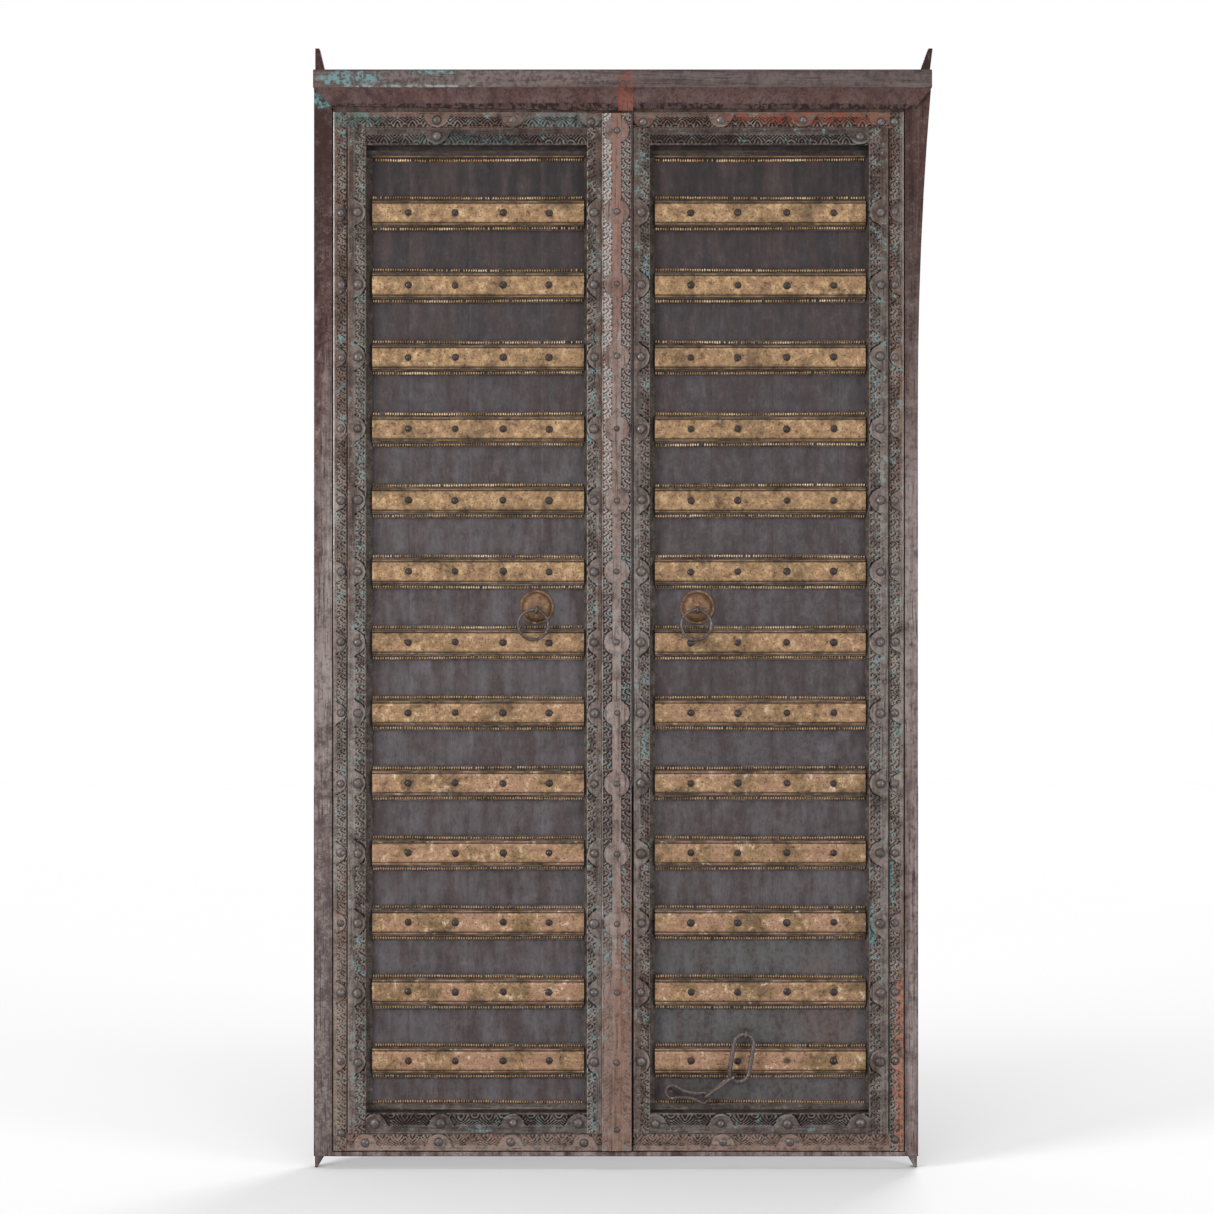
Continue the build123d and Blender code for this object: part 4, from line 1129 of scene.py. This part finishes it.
class DOOR_OT_finishes(bpy.types.Operator):
    """Finish the frame, the leaf frames, the pulls and the chain"""

    bl_idname = "door.finishes"
    bl_label = "Frame and Ironwork Finishes"

    def execute(self, context):
        wood_finishes()
        woods = bpy.data.materials
        give_material(woods["frame_shisham"], "left_jamb", "right_jamb", "sill")
        give_material(woods["head_shisham"], "head_beam")
        give_material(woods["facing_shisham"], "head_facing_left", "head_facing_right")
        give_material(woods["red_painted_shisham"], "head_centre_block")
        dome_brass = beaten_brass("domed_brass", "#8c6d48", "#644c34", "#33261c")
        handled = tuple(context.scene.door_colours.iron)
        iron = forged_iron("handled_ring_iron", handled, "#3a2d2a", "#a09a9a")
        joinery = ("hanging_stile", "meeting_stile", "top_rail", "bottom_rail")
        for side in SIDES:
            give_material(woods["stile_shisham"], *nodes_of(side, *joinery))
            give_material(dome_brass, f"{side}_pull_plate")
            give_material(iron, *nodes_of(side, "pull_ring", "pull_staple"))
        links = ("chain_link_1", "chain_link_2", "chain_link_3")
        give_material(iron, "chain_top_staple", *links, "chain_pin")
        return {"FINISHED"}


class DOOR_OT_stage(bpy.types.Operator):
    """Camera, soft studio light, floor and white background"""

    bl_idname = "door.stage"
    bl_label = "Stage"

    def execute(self, context):
        scene = context.scene
        scene.view_settings.view_transform = "Standard"
        data = bpy.data.cameras.new("door_camera")
        data.sensor_width = SENSOR_MM
        data.lens = SENSOR_MM * VIEW_DISTANCE / VIEW_WIDTH
        camera = bpy.data.objects.new("door_camera", data)
        camera.location = (VIEW_CENTRE[0], VIEW_CENTRE[1] - VIEW_DISTANCE, VIEW_CENTRE[2])
        camera.rotation_euler = (math.pi / 2, 0.0, 0.0)
        scene.collection.objects.link(camera)
        scene.camera = camera

        # The world lights the door dimly, and shows white to the camera and in reflections
        world = bpy.data.worlds.new("studio")
        world.use_nodes = True
        scene.world = world
        tree = world.node_tree
        tree.nodes.clear()
        path = add(tree, "ShaderNodeLightPath")
        glossy, through = path.outputs["Is Glossy Ray"], path.outputs["Is Transmission Ray"]
        mirrored = maths(tree, "MAXIMUM", glossy, through)
        seen = maths(tree, "MAXIMUM", path.outputs["Is Camera Ray"], mirrored)
        strength = add(tree, "ShaderNodeMapRange", {0: seen, 3: 0.3, 4: 1.0}).outputs[0]
        back = add(tree, "ShaderNodeBackground", {"Color": (1, 1, 1, 1), "Strength": strength})
        add(tree, "ShaderNodeOutputWorld", {"Surface": back.outputs[0]})

        for name, place, size, power in (
            ("left_softbox", (-3.2, -3.4, 1.9), 1.8, 140.0),
            ("right_softbox", (3.4, -3.6, 1.2), 1.8, 80.0),
            ("top_softbox", (0.0, -2.4, 4.4), 1.4, 30.0),
            ("back_softbox", (1.6, 4.0, 2.6), 2.0, 90.0),
        ):
            lamp = bpy.data.lights.new(name, "AREA")
            lamp.shape = "SQUARE"
            lamp.size = size
            lamp.energy = power
            light = bpy.data.objects.new(name, lamp)
            light.location = place
            aim = Vector((0.0, 0.0, 1.0)) - Vector(place)
            light.rotation_euler = aim.to_track_quat("-Z", "Y").to_euler()
            scene.collection.objects.link(light)

        bm = bmesh.new()
        bmesh.ops.create_grid(bm, x_segments=1, y_segments=1, size=14.0)
        bmesh.ops.translate(bm, verts=bm.verts, vec=(0, 0, cad_bounds[0][2] - 0.001))
        mesh = bpy.data.meshes.new("floor")
        bm.to_mesh(mesh)
        bm.free()
        floor = bpy.data.objects.new("floor", mesh)
        floor.is_shadow_catcher = True
        scene.collection.objects.link(floor)
        material, tree, shader = new_material("pale_floor")
        shader.inputs["Base Color"].default_value = (0.9, 0.9, 0.9, 1.0)
        shader.inputs["Roughness"].default_value = 0.9
        mesh.materials.append(material)
        return {"FINISHED"}


PIECES = (
    DOOR_OT_mouldings,
    DOOR_OT_bands,
    DOOR_OT_astragal,
    DOOR_OT_planks,
    DOOR_OT_brass_strips,
    DOOR_OT_beads,
    DOOR_OT_studs,
    DOOR_OT_strip_nails,
    DOOR_OT_finishes,
    DOOR_OT_stage,
)


class DOOR_PT_panel(bpy.types.Panel):
    """The door's sizes, colours and pieces"""

    bl_idname = "DOOR_PT_panel"
    bl_label = "Carved Door"
    bl_space_type = "VIEW_3D"
    bl_region_type = "UI"
    bl_category = "Door"

    def draw(self, context):
        layout = self.layout
        for group in (context.scene.door_sizes, context.scene.door_colours):
            for name in group.__annotations__:
                layout.prop(group, name)
        for piece in PIECES:
            layout.operator(piece.bl_idname)


CLASSES = (DoorSizes, DoorColours, *PIECES, DOOR_PT_panel)


def register():
    for cls in CLASSES:
        bpy.utils.register_class(cls)
    bpy.types.Scene.door_sizes = PointerProperty(type=DoorSizes)
    bpy.types.Scene.door_colours = PointerProperty(type=DoorColours)


def unregister():
    del bpy.types.Scene.door_colours
    del bpy.types.Scene.door_sizes
    for cls in reversed(CLASSES):
        bpy.utils.unregister_class(cls)


def main():
    register()
    for piece in PIECES:
        group, name = piece.bl_idname.split(".")
        getattr(getattr(bpy.ops, group), name)()


if __name__ == "__main__":
    main()
